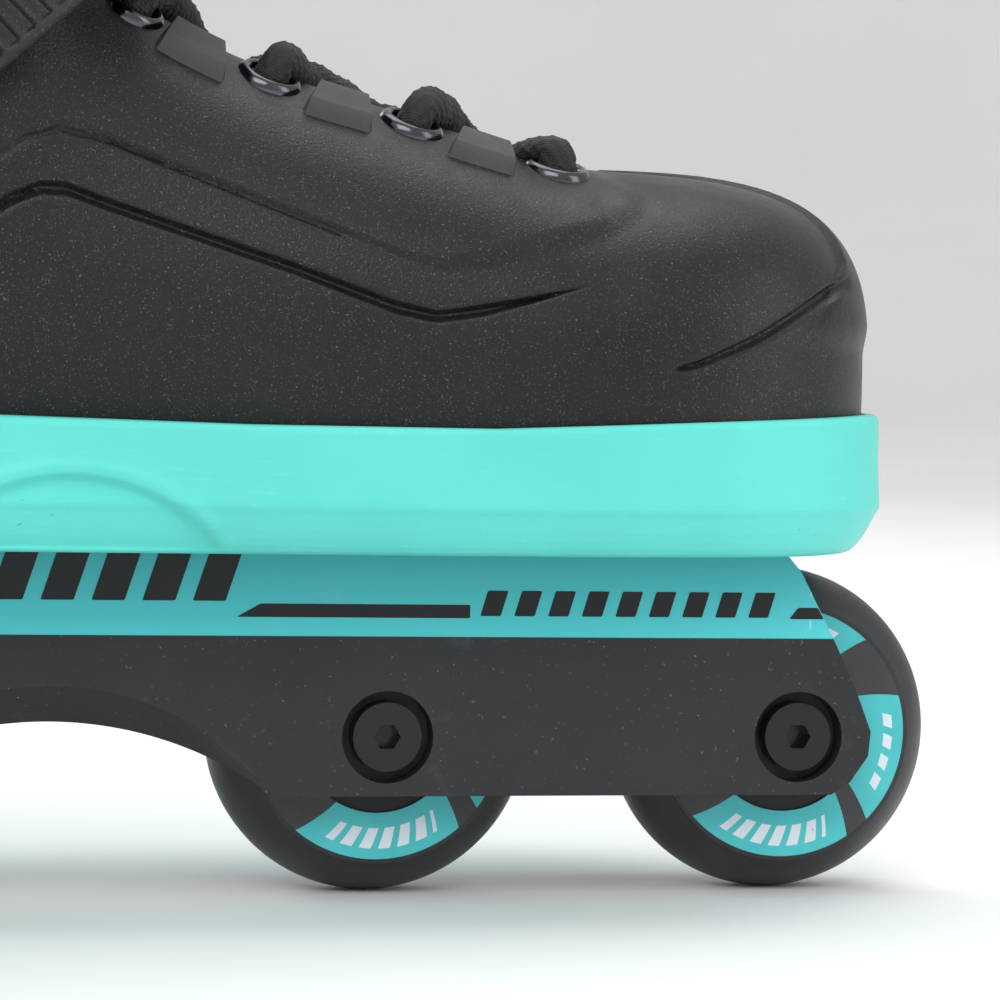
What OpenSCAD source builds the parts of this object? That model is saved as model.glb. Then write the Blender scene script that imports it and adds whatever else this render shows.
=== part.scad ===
// Inline skate for the right foot, in millimetres.
// +X points to the toe, +Z up, and -Y is the outer side of the foot.
// The origin is on the ground, under the middle of the four wheels.

/* [Wheels] */
// Wheel radius
wheel_r = 29; // [26:0.5:32]
// Wheel width across the flat sides
wheel_w = 24; // [22:0.5:25]
// Distance of the two inner axles from the middle
axle_in = 58; // [52:0.5:62]
// Distance of the two outer axles from the middle
axle_out = 131.5; // [120:0.5:136]
// Radius of the wheel core where it shows at the side
core_r = 14.1; // [12.5:0.1:16]

/* [Frame] */
// Half the width of the frame
frame_half = 21; // [18:0.5:24]
// Half the width of the channel the wheels run in
channel_half = 13.5; // [13:0.1:15]
// Height of the frame's top face
frame_top = 61.5; // [60:0.5:66]
// Height of the flat bottom edge
rail_z = 18.8; // [16:0.2:22]
// Height of the middle of the grind arch
arch_z = 31.2; // [26:0.2:36]

/* [Boot] */
// Thickness of the shell wall
shell_wall = 3.4; // [2.5:0.1:5]
// Thickness of the liner
liner_wall = 6; // [4:0.5:9]
// Height of the underside of the shell
sole_z = 65.8; // [65:0.1:70]
// Height of the ankle pivots
pivot_z = 165; // [155:1:175]
// Ankle pivots behind the middle
pivot_back = 75; // [65:1:85]
// Height of the top of the cuff at the back
cuff_top = 284; // [250:1:310]

/* [Closures] */
// Diameter of the lace
lace_d = 6.6; // [4:0.2:8]
// Outer diameter of an eyelet ring
eyelet_d = 12; // [9:0.5:14]
// Width of the instep strap
instep_w = 24; // [20:1:24]
// Width of the cuff strap
cuff_strap_w = 24; // [20:1:32]

/* [Hidden] */
$fn = 64;

axle_x = [axle_out, axle_in, -axle_in, -axle_out];
eps = 0.01;
shaft_r = 3.95;
bearing_in_r = 4;
bearing_out_r = 11;
bearing_w = 7;
ball_r = 1.97;
ball_ring_r = 7.5;
bolt_x = 83.5;
nut_top = sole_z + 5;

// Sections across the boot: [x, half width, height of the widest point, top]
boot_table = [
    [-88, 38.3, 121, 236], [-60, 39.6, 120, 236], [-36, 39.8, 115, 222], [-16, 40.2, 108, 195],
    [0, 41, 102, 167], [16, 42.2, 98, 154], [35, 43.8, 96, 144.7], [59, 45.8, 94, 137.2],
    [80, 47.2, 93, 130.6], [91, 47.4, 92.4, 128.5],
];
throat_half = 15.5;
toe_x = 91;
heel_x = -88;
toe_length = 56.3;
heel_length = 50;
side_x = [84, 76, 65, 53, 41, 29, 17, 7, -3, -14, -26, -40, -56, -72];

// Soul plate outline: [x, half width]
plate_table = [
    [-150.2, 8], [-148.6, 16.5], [-145, 24.5], [-138.5, 32], [-128, 38.5], [-112, 44], [-90, 48.5],
    [-60, 51.2], [-20, 52], [30, 52], [80, 52], [104, 50.4], [120, 46.8], [132, 41.6],
    [140.5, 35], [145.6, 27.8], [148.8, 19.2], [150.2, 9],
];

// Cuff rings: [height, x of the middle, half length, half width, squareness]
cuff_table = [
    [136, -74.5, 67.2, 45, 3.0],
    [165, -73, 65.7, 45, 2.9],
    [200, -66, 60, 45.1, 2.6],
    [240, -59, 58, 45.4, 2.4],
    [cuff_top, -52, 60, 46.2, 2.3],
];

// Smooth value of column c of a table at x
function seg(t, x, i = 0) = i >= len(t) - 2 || x <= t[i + 1][0] ? i : seg(t, x, i + 1);
function slope(t, c, i) =
    let (a = max(0, i - 1), b = min(len(t) - 1, i + 1)) (t[b][c] - t[a][c]) / (t[b][0] - t[a][0]);
function smooth_at(t, c, x) =
    let (i = seg(t, x), h = t[i + 1][0] - t[i][0], s = min(1, max(0, (x - t[i][0]) / h)))
    let (m0 = slope(t, c, i) * h, m1 = slope(t, c, i + 1) * h)
    (2 * pow(s, 3) - 3 * s * s + 1) * t[i][c] + (pow(s, 3) - 2 * s * s + s) * m0
        + (3 * s * s - 2 * pow(s, 3)) * t[i + 1][c] + (pow(s, 3) - s * s) * m1;

function power(v, e) = sign(v) * pow(abs(v), e);

// Point of the boot's side at x, from -90 under the foot to 90 over it
function boot_point(x, a, inset) =
    let (w = smooth_at(boot_table, 1, x) - inset)
    let (zm = smooth_at(boot_table, 2, x), zt = smooth_at(boot_table, 3, x))
    [x, w * power(cos(a), 0.86), zm + (zt - zm - inset) * power(sin(a), 0.88)];

// One column of the boot: [x of its foot, direction, reach, widest height, rise, roundness, throat reach]
function oval(t, a, b, n) = pow(pow(abs(cos(t)) / a, n) + pow(abs(sin(t)) / b, n), -1 / n);
toe_fan = [for (t = [-90:11.25:90]) let (c = max(0, cos(t)))
    [toe_x, t, oval(t, toe_length, 47.4, 2.35), 92.4 - 2.4 * c, 36.1 + 1.4 * c, 0.86 - 0.29 * c, 12 - 7 * c]];
heel_fan = [for (t = [90:15:270]) let (c = abs(cos(t)))
    [heel_x, t, oval(t, heel_length, 38.3, 2.4), 121 - 10 * c, 115, 0.86, throat_half]];
function side_column(x, t) =
    let (zm = smooth_at(boot_table, 2, x))
    [x, t, smooth_at(boot_table, 1, x), zm, smooth_at(boot_table, 3, x) - zm, 0.86, x > 60 ? throat_half - 3.5 * (x - 60) / 31 : throat_half];
columns = concat(
    toe_fan,
    [for (x = side_x) side_column(x, 90)],
    heel_fan,
    [for (i = [len(side_x) - 1:-1:0]) side_column(side_x[i], -90)]);

// Height of the shell's collar around the ankle
function collar_z(x) =
    lookup(x, [[-140, 170], [-120, 176], [-75, 180], [-40, 174], [-16, 166], [-4, 163], [4, 168], [12, 260]]);

// Round corner between the sole and the walls: [part of the reach, part of the drop]
corner = [[0.84, 1], [0.93, 0.96], [0.975, 0.85], [0.995, 0.6], [1, 0.3], [1, 0]];
rows = 9;

function column_points(c, inset, zb, wider, higher) =
    let (reach = c[2] - inset, rise = c[4] - inset)
    let (by_throat = acos(min(1, pow(max(0, (c[6] + wider) / reach), 1 / c[5]))))
    let (top = collar_z(c[0] + cos(c[1]) * reach * 0.92) + higher)
    let (by_collar = top - c[3] > rise ? 90 : asin(pow((top - c[3]) / rise, 1 / (c[5] + 0.02))))
    let (end = min(by_throat, by_collar))
    concat(
        [for (p = corner) let (r = reach * p[0]) [c[0] + cos(c[1]) * r, sin(c[1]) * r, c[3] - (c[3] - zb) * p[1]]],
        [for (j = [1:rows]) let (a = end * j / rows, r = reach * power(cos(a), c[5]))
            [c[0] + cos(c[1]) * r, sin(c[1]) * r, c[3] + rise * power(sin(a), c[5] + 0.02)]]);

function boot_plan(inset, part = 1) =
    [for (c = columns) let (r = (c[2] - inset) * part) [c[0] + cos(c[1]) * r, sin(c[1]) * r]];

// Open bowl with a wall from the outer to the inner inset, and its own floor
module boot_bowl(out, floor_out, inner, floor_in, wider, higher) {
    n = len(columns);
    m = len(corner) + rows;
    grid = [for (j = [0:2 * m - 1]) [for (c = columns)
        j < m ? column_points(c, out, floor_out, wider, higher)[j]
            : column_points(c, inner, floor_in, wider, higher)[2 * m - 1 - j]]];
    loft(grid);
}

// Closed solid through a list of rings with the same number of points
module loft(rings) {
    n = len(rings[0]);
    m = len(rings);
    points = [for (r = rings) for (p = r) p];
    sides = [for (j = [0:m - 2]) for (i = [0:n - 1]) let (a = j * n, b = a + n, k = (i + 1) % n)
        each [[a + i, a + k, b + k], [a + i, b + k, b + i]]];
    start = [for (i = [0:floor(n / 2 - 1.5)]) [i, n - 1 - i, n - 2 - i, i + 1]];
    end = [for (f = start) [for (q = [3:-1:0]) (m - 1) * n + f[q]]];
    polyhedron(points, concat(start, sides, end));
}

// Cylinder along Y from y0 to y1
module rod_y(x, z, r, y0, y1, n = 48) {
    translate([x, y1, z])
        rotate([90, 0, 0])
            cylinder(h = y1 - y0, r = r, $fn = n);
}

// Turned shape with its axis along Y at a wheel's centre
module at_wheel(i) {
    translate([axle_x[i - 1], 0, wheel_r])
        rotate([90, 0, 0])
            children();
}

/* Wheels and bearings */

module tyre(i) {
    color([0.22, 0.24, 0.26])
        at_wheel(i)
            rotate_extrude($fn = 96)
                difference() {
                    intersection() {
                        translate([core_r, -wheel_w / 2])
                            square([wheel_r - core_r, wheel_w]);
                        union() {
                            translate([wheel_r - 13, 0])
                                circle(r = 13, $fn = 72);
                            translate([0, -wheel_w / 2])
                                square([23, wheel_w]);
                        }
                    }
                    translate([0, -8.5])
                        square([18, 17]);
                }
}

module core(i) {
    color([0.05, 0.05, 0.055])
        at_wheel(i)
            rotate_extrude($fn = 72)
                difference() {
                    union() {
                        translate([9.4, -11.4])
                            square([core_r - 9.4, 22.8]);
                        translate([9.4, -8.5])
                            square([8.6, 17]);
                    }
                    for (s = [-1, 1])
                        translate([0, s > 0 ? 5 : -12])
                            square([bearing_out_r, bearing_w]);
                }
}

module bearing_outer(i) {
    color([0.72, 0.73, 0.75])
        at_wheel(i)
            for (s = [-1, 1])
                rotate_extrude($fn = 72)
                    difference() {
                        translate([8.5, s * 8.5 - bearing_w / 2])
                            square([bearing_out_r - 8.5, bearing_w]);
                        translate([ball_ring_r, s * 8.5])
                            circle(r = ball_r + 0.07, $fn = 40);
                    }
}

module bearing_balls(i) {
    color([0.85, 0.86, 0.88])
        at_wheel(i)
            for (s = [-1, 1])
                for (k = [0:6])
                    rotate([0, 0, k * 360 / 7])
                        translate([ball_ring_r, 0, s * 8.5])
                            sphere(r = ball_r, $fn = 28);
}

module bearing_inner_rings() {
    color([0.72, 0.73, 0.75])
        for (i = [1:4])
            at_wheel(i)
                for (s = [-1, 1])
                    rotate_extrude($fn = 64)
                        difference() {
                            translate([bearing_in_r, s * 8.5 - bearing_w / 2])
                                square([6.5 - bearing_in_r, bearing_w]);
                            translate([ball_ring_r, s * 8.5])
                                circle(r = ball_r + 0.07, $fn = 40);
                        }
}

module bearing_spacers() {
    color([0.75, 0.76, 0.78])
        for (x = axle_x)
            difference() {
                rod_y(x, wheel_r, 5.8, -5, 5);
                rod_y(x, wheel_r, 4.05, -6, 6);
            }
}

module axle_bolts() {
    color([0.04, 0.04, 0.045])
        for (x = axle_x)
            difference() {
                union() {
                    rod_y(x, wheel_r, 6, 0.4 - frame_half, 4.9 - frame_half);
                    rod_y(x, wheel_r, shaft_r, 4.8 - frame_half, 12);
                    rod_y(x, wheel_r, 3, 11.9, 19.4);
                }
                rod_y(x, wheel_r, 2.35, -frame_half, 3.9 - frame_half, 6);
            }
}

module axle_nuts() {
    color([0.04, 0.04, 0.045])
        for (x = axle_x)
            difference() {
                union() {
                    rod_y(x, wheel_r, 6, frame_half - 4.9, frame_half - 0.4);
                    rod_y(x, wheel_r, shaft_r, 12.2, frame_half - 4.8);
                }
                rod_y(x, wheel_r, 3.02, 12, frame_half - 1.4);
                rod_y(x, wheel_r, 2.35, frame_half - 1.5, frame_half, 6);
            }
}

/* Frame */

frame_side = [
    [128.4, frame_top], [131.4, 58], [137.4, 46.6], [141.7, 37.8], [144.8, 29.9],
    [144.4, 25.6], [141.2, 21], [137.8, rail_z],
];

module frame_outline() {
    mirrored = [for (i = [len(frame_side) - 1:-1:0]) [-frame_side[i][0], frame_side[i][1]]];
    polygon(concat(frame_side, mirrored));
}

// Upper and lower edges of the rounded grind arch, as circles about points on the middle line
module arch_disc(z, r, y, h) {
    translate([0, y + h / 2, z])
        rotate([90, 0, 0])
            cylinder(h = h, r = r, $fn = 96);
}

module frame() {
    arch_r = 65.5;
    bevel_r = 48.5;
    color([0.10, 0.46, 0.46])
        difference() {
            translate([0, frame_half, 0])
                rotate([90, 0, 0])
                    linear_extrude(2 * frame_half)
                        frame_outline();
            // wheel channels, open at the bottom and at both ends
            for (s = [-1, 1]) {
                translate([s > 0 ? 27 : -160, -channel_half, 0])
                    cube([133, 2 * channel_half, 46]);
                for (x = [axle_in, axle_out])
                    rod_y(s * x, wheel_r, wheel_r + 1.8, -channel_half, channel_half, 72);
                translate([s * 138 - 12, -channel_half, 40])
                    cube([24, 2 * channel_half, 14]);
            }
            // grind arch and its bevelled edges
            arch_disc(arch_z - arch_r, arch_r, 0, 60);
            for (s = [-1, 1])
                hull() {
                    arch_disc(arch_z - arch_r, arch_r, s * 16, 0.02);
                    arch_disc(arch_z + 6.6 - bevel_r, bevel_r, s * 21.1, 0.02);
                }
            // lightening pocket over the arch
            translate([-19, -10, 42])
                cube([38, 20, 30]);
            // axle holes and counterbores
            for (x = axle_x) {
                rod_y(x, wheel_r, 4, -30, 30);
                rod_y(x, wheel_r, 8, -30, 4.9 - frame_half);
                rod_y(x, wheel_r, 8, frame_half - 4.9, 30);
            }
            // frame bolts from below
            for (s = [-1, 1]) {
                translate([s * bolt_x, 0, 40])
                    cylinder(h = 30, r = 3.2);
                translate([s * bolt_x, 0, 38])
                    cylinder(h = 20, r = 5.6);
            }
        }
    // inner bosses that bear on the bearings
    color([0.10, 0.46, 0.46])
        for (x = axle_x)
            for (s = [-1, 1])
                difference() {
                    rod_y(x, wheel_r, 6, s > 0 ? 12 : -channel_half - eps, s > 0 ? channel_half + eps : -12);
                    rod_y(x, wheel_r, 4, -20, 20);
                }
}

module frame_bolts() {
    color([0.6, 0.61, 0.63])
        for (s = [-1, 1])
            difference() {
                translate([s * bolt_x, 0, 0])
                    union() {
                        translate([0, 0, 54])
                            cylinder(h = 4, r = 5);
                        translate([0, 0, 57.9])
                            cylinder(h = 11, r = 3);
                    }
                translate([s * bolt_x, 0, 53])
                    cylinder(h = 3.4, r = 2.4, $fn = 6);
            }
}

module frame_nuts() {
    color([0.6, 0.61, 0.63])
        for (s = [-1, 1])
            translate([s * bolt_x, 0, 0])
                difference() {
                    union() {
                        translate([0, 0, 65.9])
                            cylinder(h = nut_top - 1.4 - 65.9, r = 4.4);
                        translate([0, 0, nut_top - 1.5])
                            cylinder(h = 1.5, r = 9);
                    }
                    translate([0, 0, 60])
                        cylinder(h = 20, r = 3.02);
                }
}

/* Soul plate */

// Plate outline with its edge moved in
function plate_line(inset) = concat(
    [for (i = [len(plate_table) - 1:-1:0]) let (p = plate_table[i]) [p[0] * (150 - inset) / 150, max(1, p[1] - inset)]],
    [for (p = plate_table) [p[0] * (150 - inset) / 150, -max(1, p[1] - inset)]]);

// Side view of the lip's top edge
lip_side = [[-160, 86.6], [-60, 84.6], [0, 83.4], [30, 82.8], [70, 82.8], [110, 84.6], [160, 86.6]];

module plate_slice(inset, z, h) {
    translate([0, 0, z])
        linear_extrude(h)
            polygon(plate_line(inset));
}

module soul_plate() {
    color([0.37, 0.9, 0.9])
        difference() {
            union() {
                hull() {
                    plate_slice(8, frame_top, 0.1);
                    plate_slice(3.6, frame_top + 2, 0.1);
                    plate_slice(1.4, frame_top + 5, 0.1);
                    plate_slice(0, frame_top + 8.8, 0.2);
                }
                intersection() {
                    plate_slice(0, frame_top + 8.9, 30);
                    translate([0, 70, 0])
                        rotate([90, 0, 0])
                            linear_extrude(140)
                                polygon(concat([[160, 60], [-160, 60]], lip_side));
                }
            }
            // seat for the shell
            translate([0, 0, sole_z - 0.1])
                linear_extrude(40)
                    polygon(boot_plan(-0.3));
            // grind recesses on both sides, over the frame's arch
            for (s = [-1, 1])
                translate([0, s * 56, 42.5])
                    rotate([90, 0, 0])
                        cylinder(h = 12, r = 31.9, center = true, $fn = 96);
            // bolt and screw holes
            for (s = [-1, 1])
                translate([s * bolt_x, 0, 50])
                    cylinder(h = 30, r = 4.5);
            for (p = screw_places) {
                translate([p[0], p[1], 50])
                    cylinder(h = 30, r = 2.1);
                translate([p[0], p[1], 50])
                    cylinder(h = frame_top + 2.4 - 50, r = 4.2);
            }
        }
}

screw_places = [[112, 30], [112, -30], [0, 30], [0, -30], [-101, 24.5], [-101, -24.5]];

module plate_screws() {
    color([0.6, 0.61, 0.63])
        for (p = screw_places)
            translate([p[0], p[1], 0])
                difference() {
                    union() {
                        translate([0, 0, frame_top + 0.3])
                            cylinder(h = 2.1, r = 3.9);
                        translate([0, 0, frame_top + 2.3])
                            cylinder(h = 6.2, r = 1.95);
                    }
                    translate([0, 0, frame_top])
                        cylinder(h = 1.7, r = 1.6, $fn = 6);
                }
}

/* Boot */

module boot_shell() {
    color([0.06, 0.06, 0.065])
        difference() {
            boot_bowl(0, sole_z, shell_wall, nut_top, 0, 0);
            rod_y(-pivot_back, pivot_z, 3.2, -60, 60);
            for (s = [-1, 1]) {
                translate([s * bolt_x, 0, 50])
                    cylinder(h = 30, r = 4.45);
                translate([s * bolt_x, 0, nut_top - 1.6])
                    cylinder(h = 10, r = 9.1);
            }
            for (p = screw_places)
                translate([p[0], p[1], 50])
                    cylinder(h = 20, r = 2);
        }
}

module boot_board() {
    color([0.2, 0.2, 0.2])
        difference() {
            translate([0, 0, nut_top + 0.3])
                linear_extrude(4.3)
                    polygon(boot_plan(shell_wall, 0.85));
            shock_outline(0.2, nut_top + 1.6, 20);
        }
}

module shock_outline(grow, z, h) {
    translate([0, 0, z])
        linear_extrude(h)
            union() {
                for (x = [-62, -100])
                    translate([x, 0])
                        circle(r = 20 + grow, $fn = 48);
                translate([-100, -20 - grow])
                    square([38, 40 + 2 * grow]);
            }
}

module shock_pad() {
    color([0.25, 0.5, 0.55])
        shock_outline(0, nut_top + 1.6, 3);
}

module liner_foot() {
    color([0.11, 0.11, 0.12])
        boot_bowl(shell_wall + 1.8, nut_top + 5, shell_wall + 1 + liner_wall, nut_top + 9, 9.5, 2);
}

module footbed() {
    color([0.16, 0.35, 0.38])
        translate([0, 0, nut_top + 9.2])
            linear_extrude(3)
                polygon(boot_plan(shell_wall + liner_wall + 1, 0.84));
}

// Tongue: a curved pad that fills the throat
function tongue_ring(x, spread, n) = concat(
    [for (i = [0:n]) boot_point(x, 90 - spread + 2 * spread * i / n, shell_wall + 1.4)],
    [for (i = [n:-1:0]) boot_point(x, 90 - spread + 2 * spread * i / n, shell_wall + 6.8)]);

module tongue_lower() {
    color([0.12, 0.12, 0.13])
        loft([for (x = [-8, 0, 8, 18, 30, 44, 58, 70, 80, 88]) tongue_ring(x, x > 75 ? 24 : 30, 10)]);
}

// Centre line of the tongue in front of the shin: [x, height]
shin = [[-19, 190], [-20, 206], [-17, 226], [-13, 250], [-9, 274], [-7, 296]];

function shin_ring(p, n) = concat(
    [for (i = [0:n]) let (a = -52 + 104 * i / n) [p[0] - 30 + 33 * cos(a), 36 * sin(a), p[1]]],
    [for (i = [n:-1:0]) let (a = -52 + 104 * i / n) [p[0] - 30 + 27 * cos(a), 30 * sin(a), p[1]]]);

module tongue_upper() {
    color([0.12, 0.12, 0.13])
        loft([for (p = shin) shin_ring(p, 10)]);
}

/* Eyelets and laces */

eyelet_x = [85, 59.5, 35, 11.8];
eyelet_a = [64, 64, 64, 64];
eyelet_list = [for (s = [-1, 1]) for (i = [0:3]) [eyelet_x[i], eyelet_a[i], s]];

// Point on the shell and its outward direction for an eyelet
function eyelet_pos(e) = boot_point(e[0], e[1], 0);
function eyelet_dir(e) =
    let (p = boot_point(e[0], e[1], 0), q = boot_point(e[0], e[1] + 4, 0), r = boot_point(e[0] + 4, e[1], 0))
    let (c = cross(q - p, r - p)) c / norm(c);
function side_of(e, v) = [v[0], v[1] * e[2], v[2]];

module at_eyelet(e) {
    p = side_of(e, eyelet_pos(e));
    d = side_of(e, eyelet_dir(e) * (eyelet_dir(e)[2] > 0 ? 1 : -1));
    translate(p)
        rotate([0, acos(d[2]), atan2(d[1], d[0])])
            children();
}

module eyelets() {
    color([0.16, 0.16, 0.17])
        for (e = eyelet_list)
            at_eyelet(e) {
                rotate_extrude($fn = 40)
                    translate([eyelet_d / 2 - 1.55, 1.7])
                        circle(r = 1.45, $fn = 20);
                rotate_extrude($fn = 40)
                    translate([3.25, -3.6])
                        square([0.6, 4.6]);
            }
}

// Lace span of one row: out of one ring, over the tongue and into the other ring
function lace_path(i) =
    let (e = [eyelet_x[i], eyelet_a[i], 1], p = eyelet_pos(e), v = eyelet_dir(e), d = v[2] > 0 ? v : -v)
    let (b = p + d * 4, top = smooth_at(boot_table, 3, p[0]) + 6.4)
    [for (k = [-8:8]) let (s = k / 7, m = side_of([0, 0, sign(k)], abs(k) == 8 ? p - d : b))
        abs(k) > 6 ? m : [b[0] - 1.5 * (1 - s * s), b[1] * sin(90 * s), b[2] + (top - b[2]) * pow(1 - s * s, 0.6)]];

module tube(path, r, n) {
    loft([for (i = [0:len(path) - 1])
        let (a = path[max(0, i - 1)], b = path[min(len(path) - 1, i + 1)], t = (b - a) / norm(b - a))
        let (u = cross(t, [1, 0, 0]) / norm(cross(t, [1, 0, 0])), v = cross(t, u))
        [for (k = [0:n - 1]) path[i] + r * (cos((k + 0.5) * 360 / n) * u + sin((k + 0.5) * 360 / n) * v)]]);
}

module laces() {
    color([0.05, 0.05, 0.05])
        for (i = [0:3])
            tube(lace_path(i), lace_d / 2, 12);
}

/* Cuff */

function cuff_point(h, a, grow) =
    let (xc = smooth_at(cuff_table, 1, h), l = smooth_at(cuff_table, 2, h) + grow)
    let (w = smooth_at(cuff_table, 3, h) + grow, e = 2 / smooth_at(cuff_table, 4, h))
    [xc + l * power(cos(a), e), w * power(sin(a), e), h];

// Heights of the cuff's lower and upper edges, by x
function cuff_low(x) =
    lookup(x, [[-140, 158], [-118, 152], [-96, 146], [-74, 143], [-54, 147], [-38, 168], [-22, 196], [-6, 216], [10, 222]]);
function cuff_high(x) = lookup(x, [[-120, cuff_top], [-80, 277], [-20, 266], [10, 262]]);

// Wall around the leg, open in front between the two half angles
module cuff_wall(out, inner, gap, low, high, steps = 12, n = 46) {
    ring = [for (i = [0:n]) gap + (360 - 2 * gap) * i / n];
    loft([for (j = [0:steps])
        let (edge = function(a, grow)
            let (x = cuff_point(210, a, grow)[0], z0 = low == 0 ? cuff_low(x) : low, z1 = high == 0 ? cuff_high(x) : high)
            cuff_point(z0 + (z1 - z0) * j / steps, a, grow))
        concat([for (a = ring) edge(a, out)], [for (i = [n:-1:0]) edge(ring[i], inner)])]);
}

module cuff() {
    color([0.06, 0.06, 0.065])
        difference() {
            cuff_wall(0, -3, 14.5, 0, 0);
            rod_y(-pivot_back, pivot_z, 7.05, -60, 60);
            for (x = cuff_holes)
                translate([x, -40, 246])
                    rotate([90, 0, 0])
                        cylinder(h = 20, r = 1.7);
        }
}

// Flanged bushes in the cuff's pivot holes
module pivot_bushes() {
    color([0.1, 0.1, 0.105])
        for (s = [-1, 1])
            scale_side(s)
                difference() {
                    union() {
                        rod_y(-pivot_back, pivot_z, 7, 41.5, 45.3);
                        rod_y(-pivot_back, pivot_z, 10.5, 45.2, 46.4);
                    }
                    rod_y(-pivot_back, pivot_z, 5.05, 30, 60);
                }
}

module liner_cuff() {
    color([0.11, 0.11, 0.12])
        cuff_wall(-3.5, -9.5, 50, 190, 296);
}

module pivot_bolts() {
    color([0.62, 0.63, 0.65])
        for (s = [-1, 1])
            scale_side(s)
                difference() {
                    union() {
                        rod_y(-pivot_back, pivot_z, 8.5, 46.5, 49.3);
                        rod_y(-pivot_back, pivot_z, 5, 39.4, 46.6);
                        rod_y(-pivot_back, pivot_z, 3.1, 33.7, 39.5);
                    }
                    rod_y(-pivot_back, pivot_z, 2.6, 47, 50, 6);
                }
}

module pivot_washers() {
    color([0.1, 0.1, 0.105])
        for (s = [-1, 1])
            scale_side(s)
                difference() {
                    rod_y(-pivot_back, pivot_z, 12, 38.3, 41.3);
                    rod_y(-pivot_back, pivot_z, 5.1, 30, 50);
                }
}

module pivot_nuts() {
    color([0.62, 0.63, 0.65])
        for (s = [-1, 1])
            scale_side(s)
                difference() {
                    rod_y(-pivot_back, pivot_z, 8, 33.5, 35.6);
                    rod_y(-pivot_back, pivot_z, 3.12, 30, 40);
                }
}

// Mirrors to the outer side for -1
module scale_side(s) {
    mirror([0, s < 0 ? 1 : 0, 0])
        children();
}

/* Straps */

// Band through stations of [centre, outward direction, width direction]
module band(stations, w, t) {
    loft([for (s = stations) let (c = s[0], n = s[1] / norm(s[1]), b = s[2] / norm(s[2]))
        [c - b * w / 2 - n * t / 2, c + b * w / 2 - n * t / 2, c + b * w / 2 + n * t / 2, c - b * w / 2 + n * t / 2]]);
}

// Instep strap: lies along its buckle, rises over the instep and ends at an anchor on the inner side
strap_tilt = 40;
function instep_at(a, r) =
    let (y = power(sin(a), 0.8), up = power(cos(a), 0.8))
    [-24 + 40 * up, (42 + r) * y, 142 + (36 + r) * up];
function instep_dir(a) = [-0.35 * cos(a), sin(a), cos(a) * 0.85];

// Across the strap: up and back on the sides, more upright at the top
function width_dir(a) =
    let (n = instep_dir(a) / norm(instep_dir(a)), q = instep_at(a + 2, 0) - instep_at(a - 2, 0))
    cross(n, q / norm(q));

module instep_strap() {
    across = [sin(strap_tilt), 0, -cos(strap_tilt)];
    along = [cos(strap_tilt), 0, sin(strap_tilt)];
    color([0.05, 0.05, 0.055])
        band(concat(
            [for (d = [-20, 0, 25]) [instep_buckle + along * d - [0, 3.1, 0], [0, -1, 0], -across]],
            [for (a = [-65:10:85]) [instep_at(a, 1.5), instep_dir(a), width_dir(a)]],
            [[[-30, 43.6, 136.6], [0, 1, 0], across]]), instep_w, 2.4);
}

module instep_pad() {
    color([0.12, 0.12, 0.13])
        band([for (a = [-45:10:45]) [instep_at(a, -3.5), instep_dir(a), width_dir(a)]], instep_w + 8, 2.4);
}

module cuff_strap() {
    color([0.05, 0.05, 0.055])
        band(concat(
            [for (d = [-20, 0, 25]) [cuff_buckle + [d, -3.1, 0], [0, -1, 0], [0, 0, -1]]],
            [for (a = [-52:7.15:91])
                let (r = a < -40 ? 4.2 : 3.1, p = cuff_point(246, a, r), q = cuff_point(246, a + 1, r))
                [p, [q[1] - p[1], p[0] - q[0], 0], [0, 0, -1]]]), cuff_strap_w, 2.4);
}

// Anchors on the inner side, where each strap is screwed down: [x, height, radius, face of the strap]
instep_hold = [-22, 143, 8, 45.3];
cuff_hold = [-52, 246, 9, 50];

module strap_anchor(p) {
    color([0.05, 0.05, 0.055])
        difference() {
            rod_y(p[0], p[1], p[2], p[3], p[3] + 2.8);
            rod_y(p[0], p[1], 1.95, 0, 80);
        }
}

module anchor_screw(p) {
    color([0.6, 0.61, 0.63])
        difference() {
            union() {
                rod_y(p[0], p[1], 4.2, p[3] + 2.9, p[3] + 5);
                rod_y(p[0], p[1], 1.9, p[3] - 5.2, p[3] + 3);
            }
            rod_y(p[0], p[1], 1.8, p[3] + 3.8, p[3] + 7, 6);
        }
}

/* Buckles: drawn flat with the strap entering from +X, the lever outwards along -Y */

lever_x = 17;
lever_y = -7.7;
catch_x = -13;
catch_y = -6.8;
instep_buckle = [-43, -40.4, 128];
cuff_buckle = [-56, -46.2, 246];
cuff_holes = [-76, -54];

module buckle_place(which) {
    if (which == "instep")
        translate(instep_buckle)
            rotate([0, -strap_tilt, 0])
                children();
    else
        translate(cuff_buckle)
            children();
}

module bar_z(x, y, r, h, n = 32) {
    translate([x, y, -h / 2])
        cylinder(h = h, r = r, $fn = n);
}

module buckle_base() {
    difference() {
        union() {
            translate([-24, -1.8, -14])
                cube([48, 1.8, 28]);
            for (s = [-1, 1])
                translate([0, 0, s * 13 - 1])
                    hull() {
                        translate([lever_x, lever_y, 0])
                            cylinder(h = 2, r = 3.4, $fn = 32);
                        translate([catch_x - 5, -1.8, 0])
                            cube([34, 1, 2]);
                        translate([catch_x, catch_y, 0])
                            cylinder(h = 2, r = 2.8, $fn = 32);
                    }
        }
        bar_z(lever_x, lever_y, 1.6, 60);
        bar_z(catch_x, catch_y, 1.25, 60);
        for (x = [-20, 2])
            translate([x, 5, 0])
                rotate([90, 0, 0])
                    cylinder(h = 12, r = 1.7, $fn = 32);
    }
}

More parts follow.
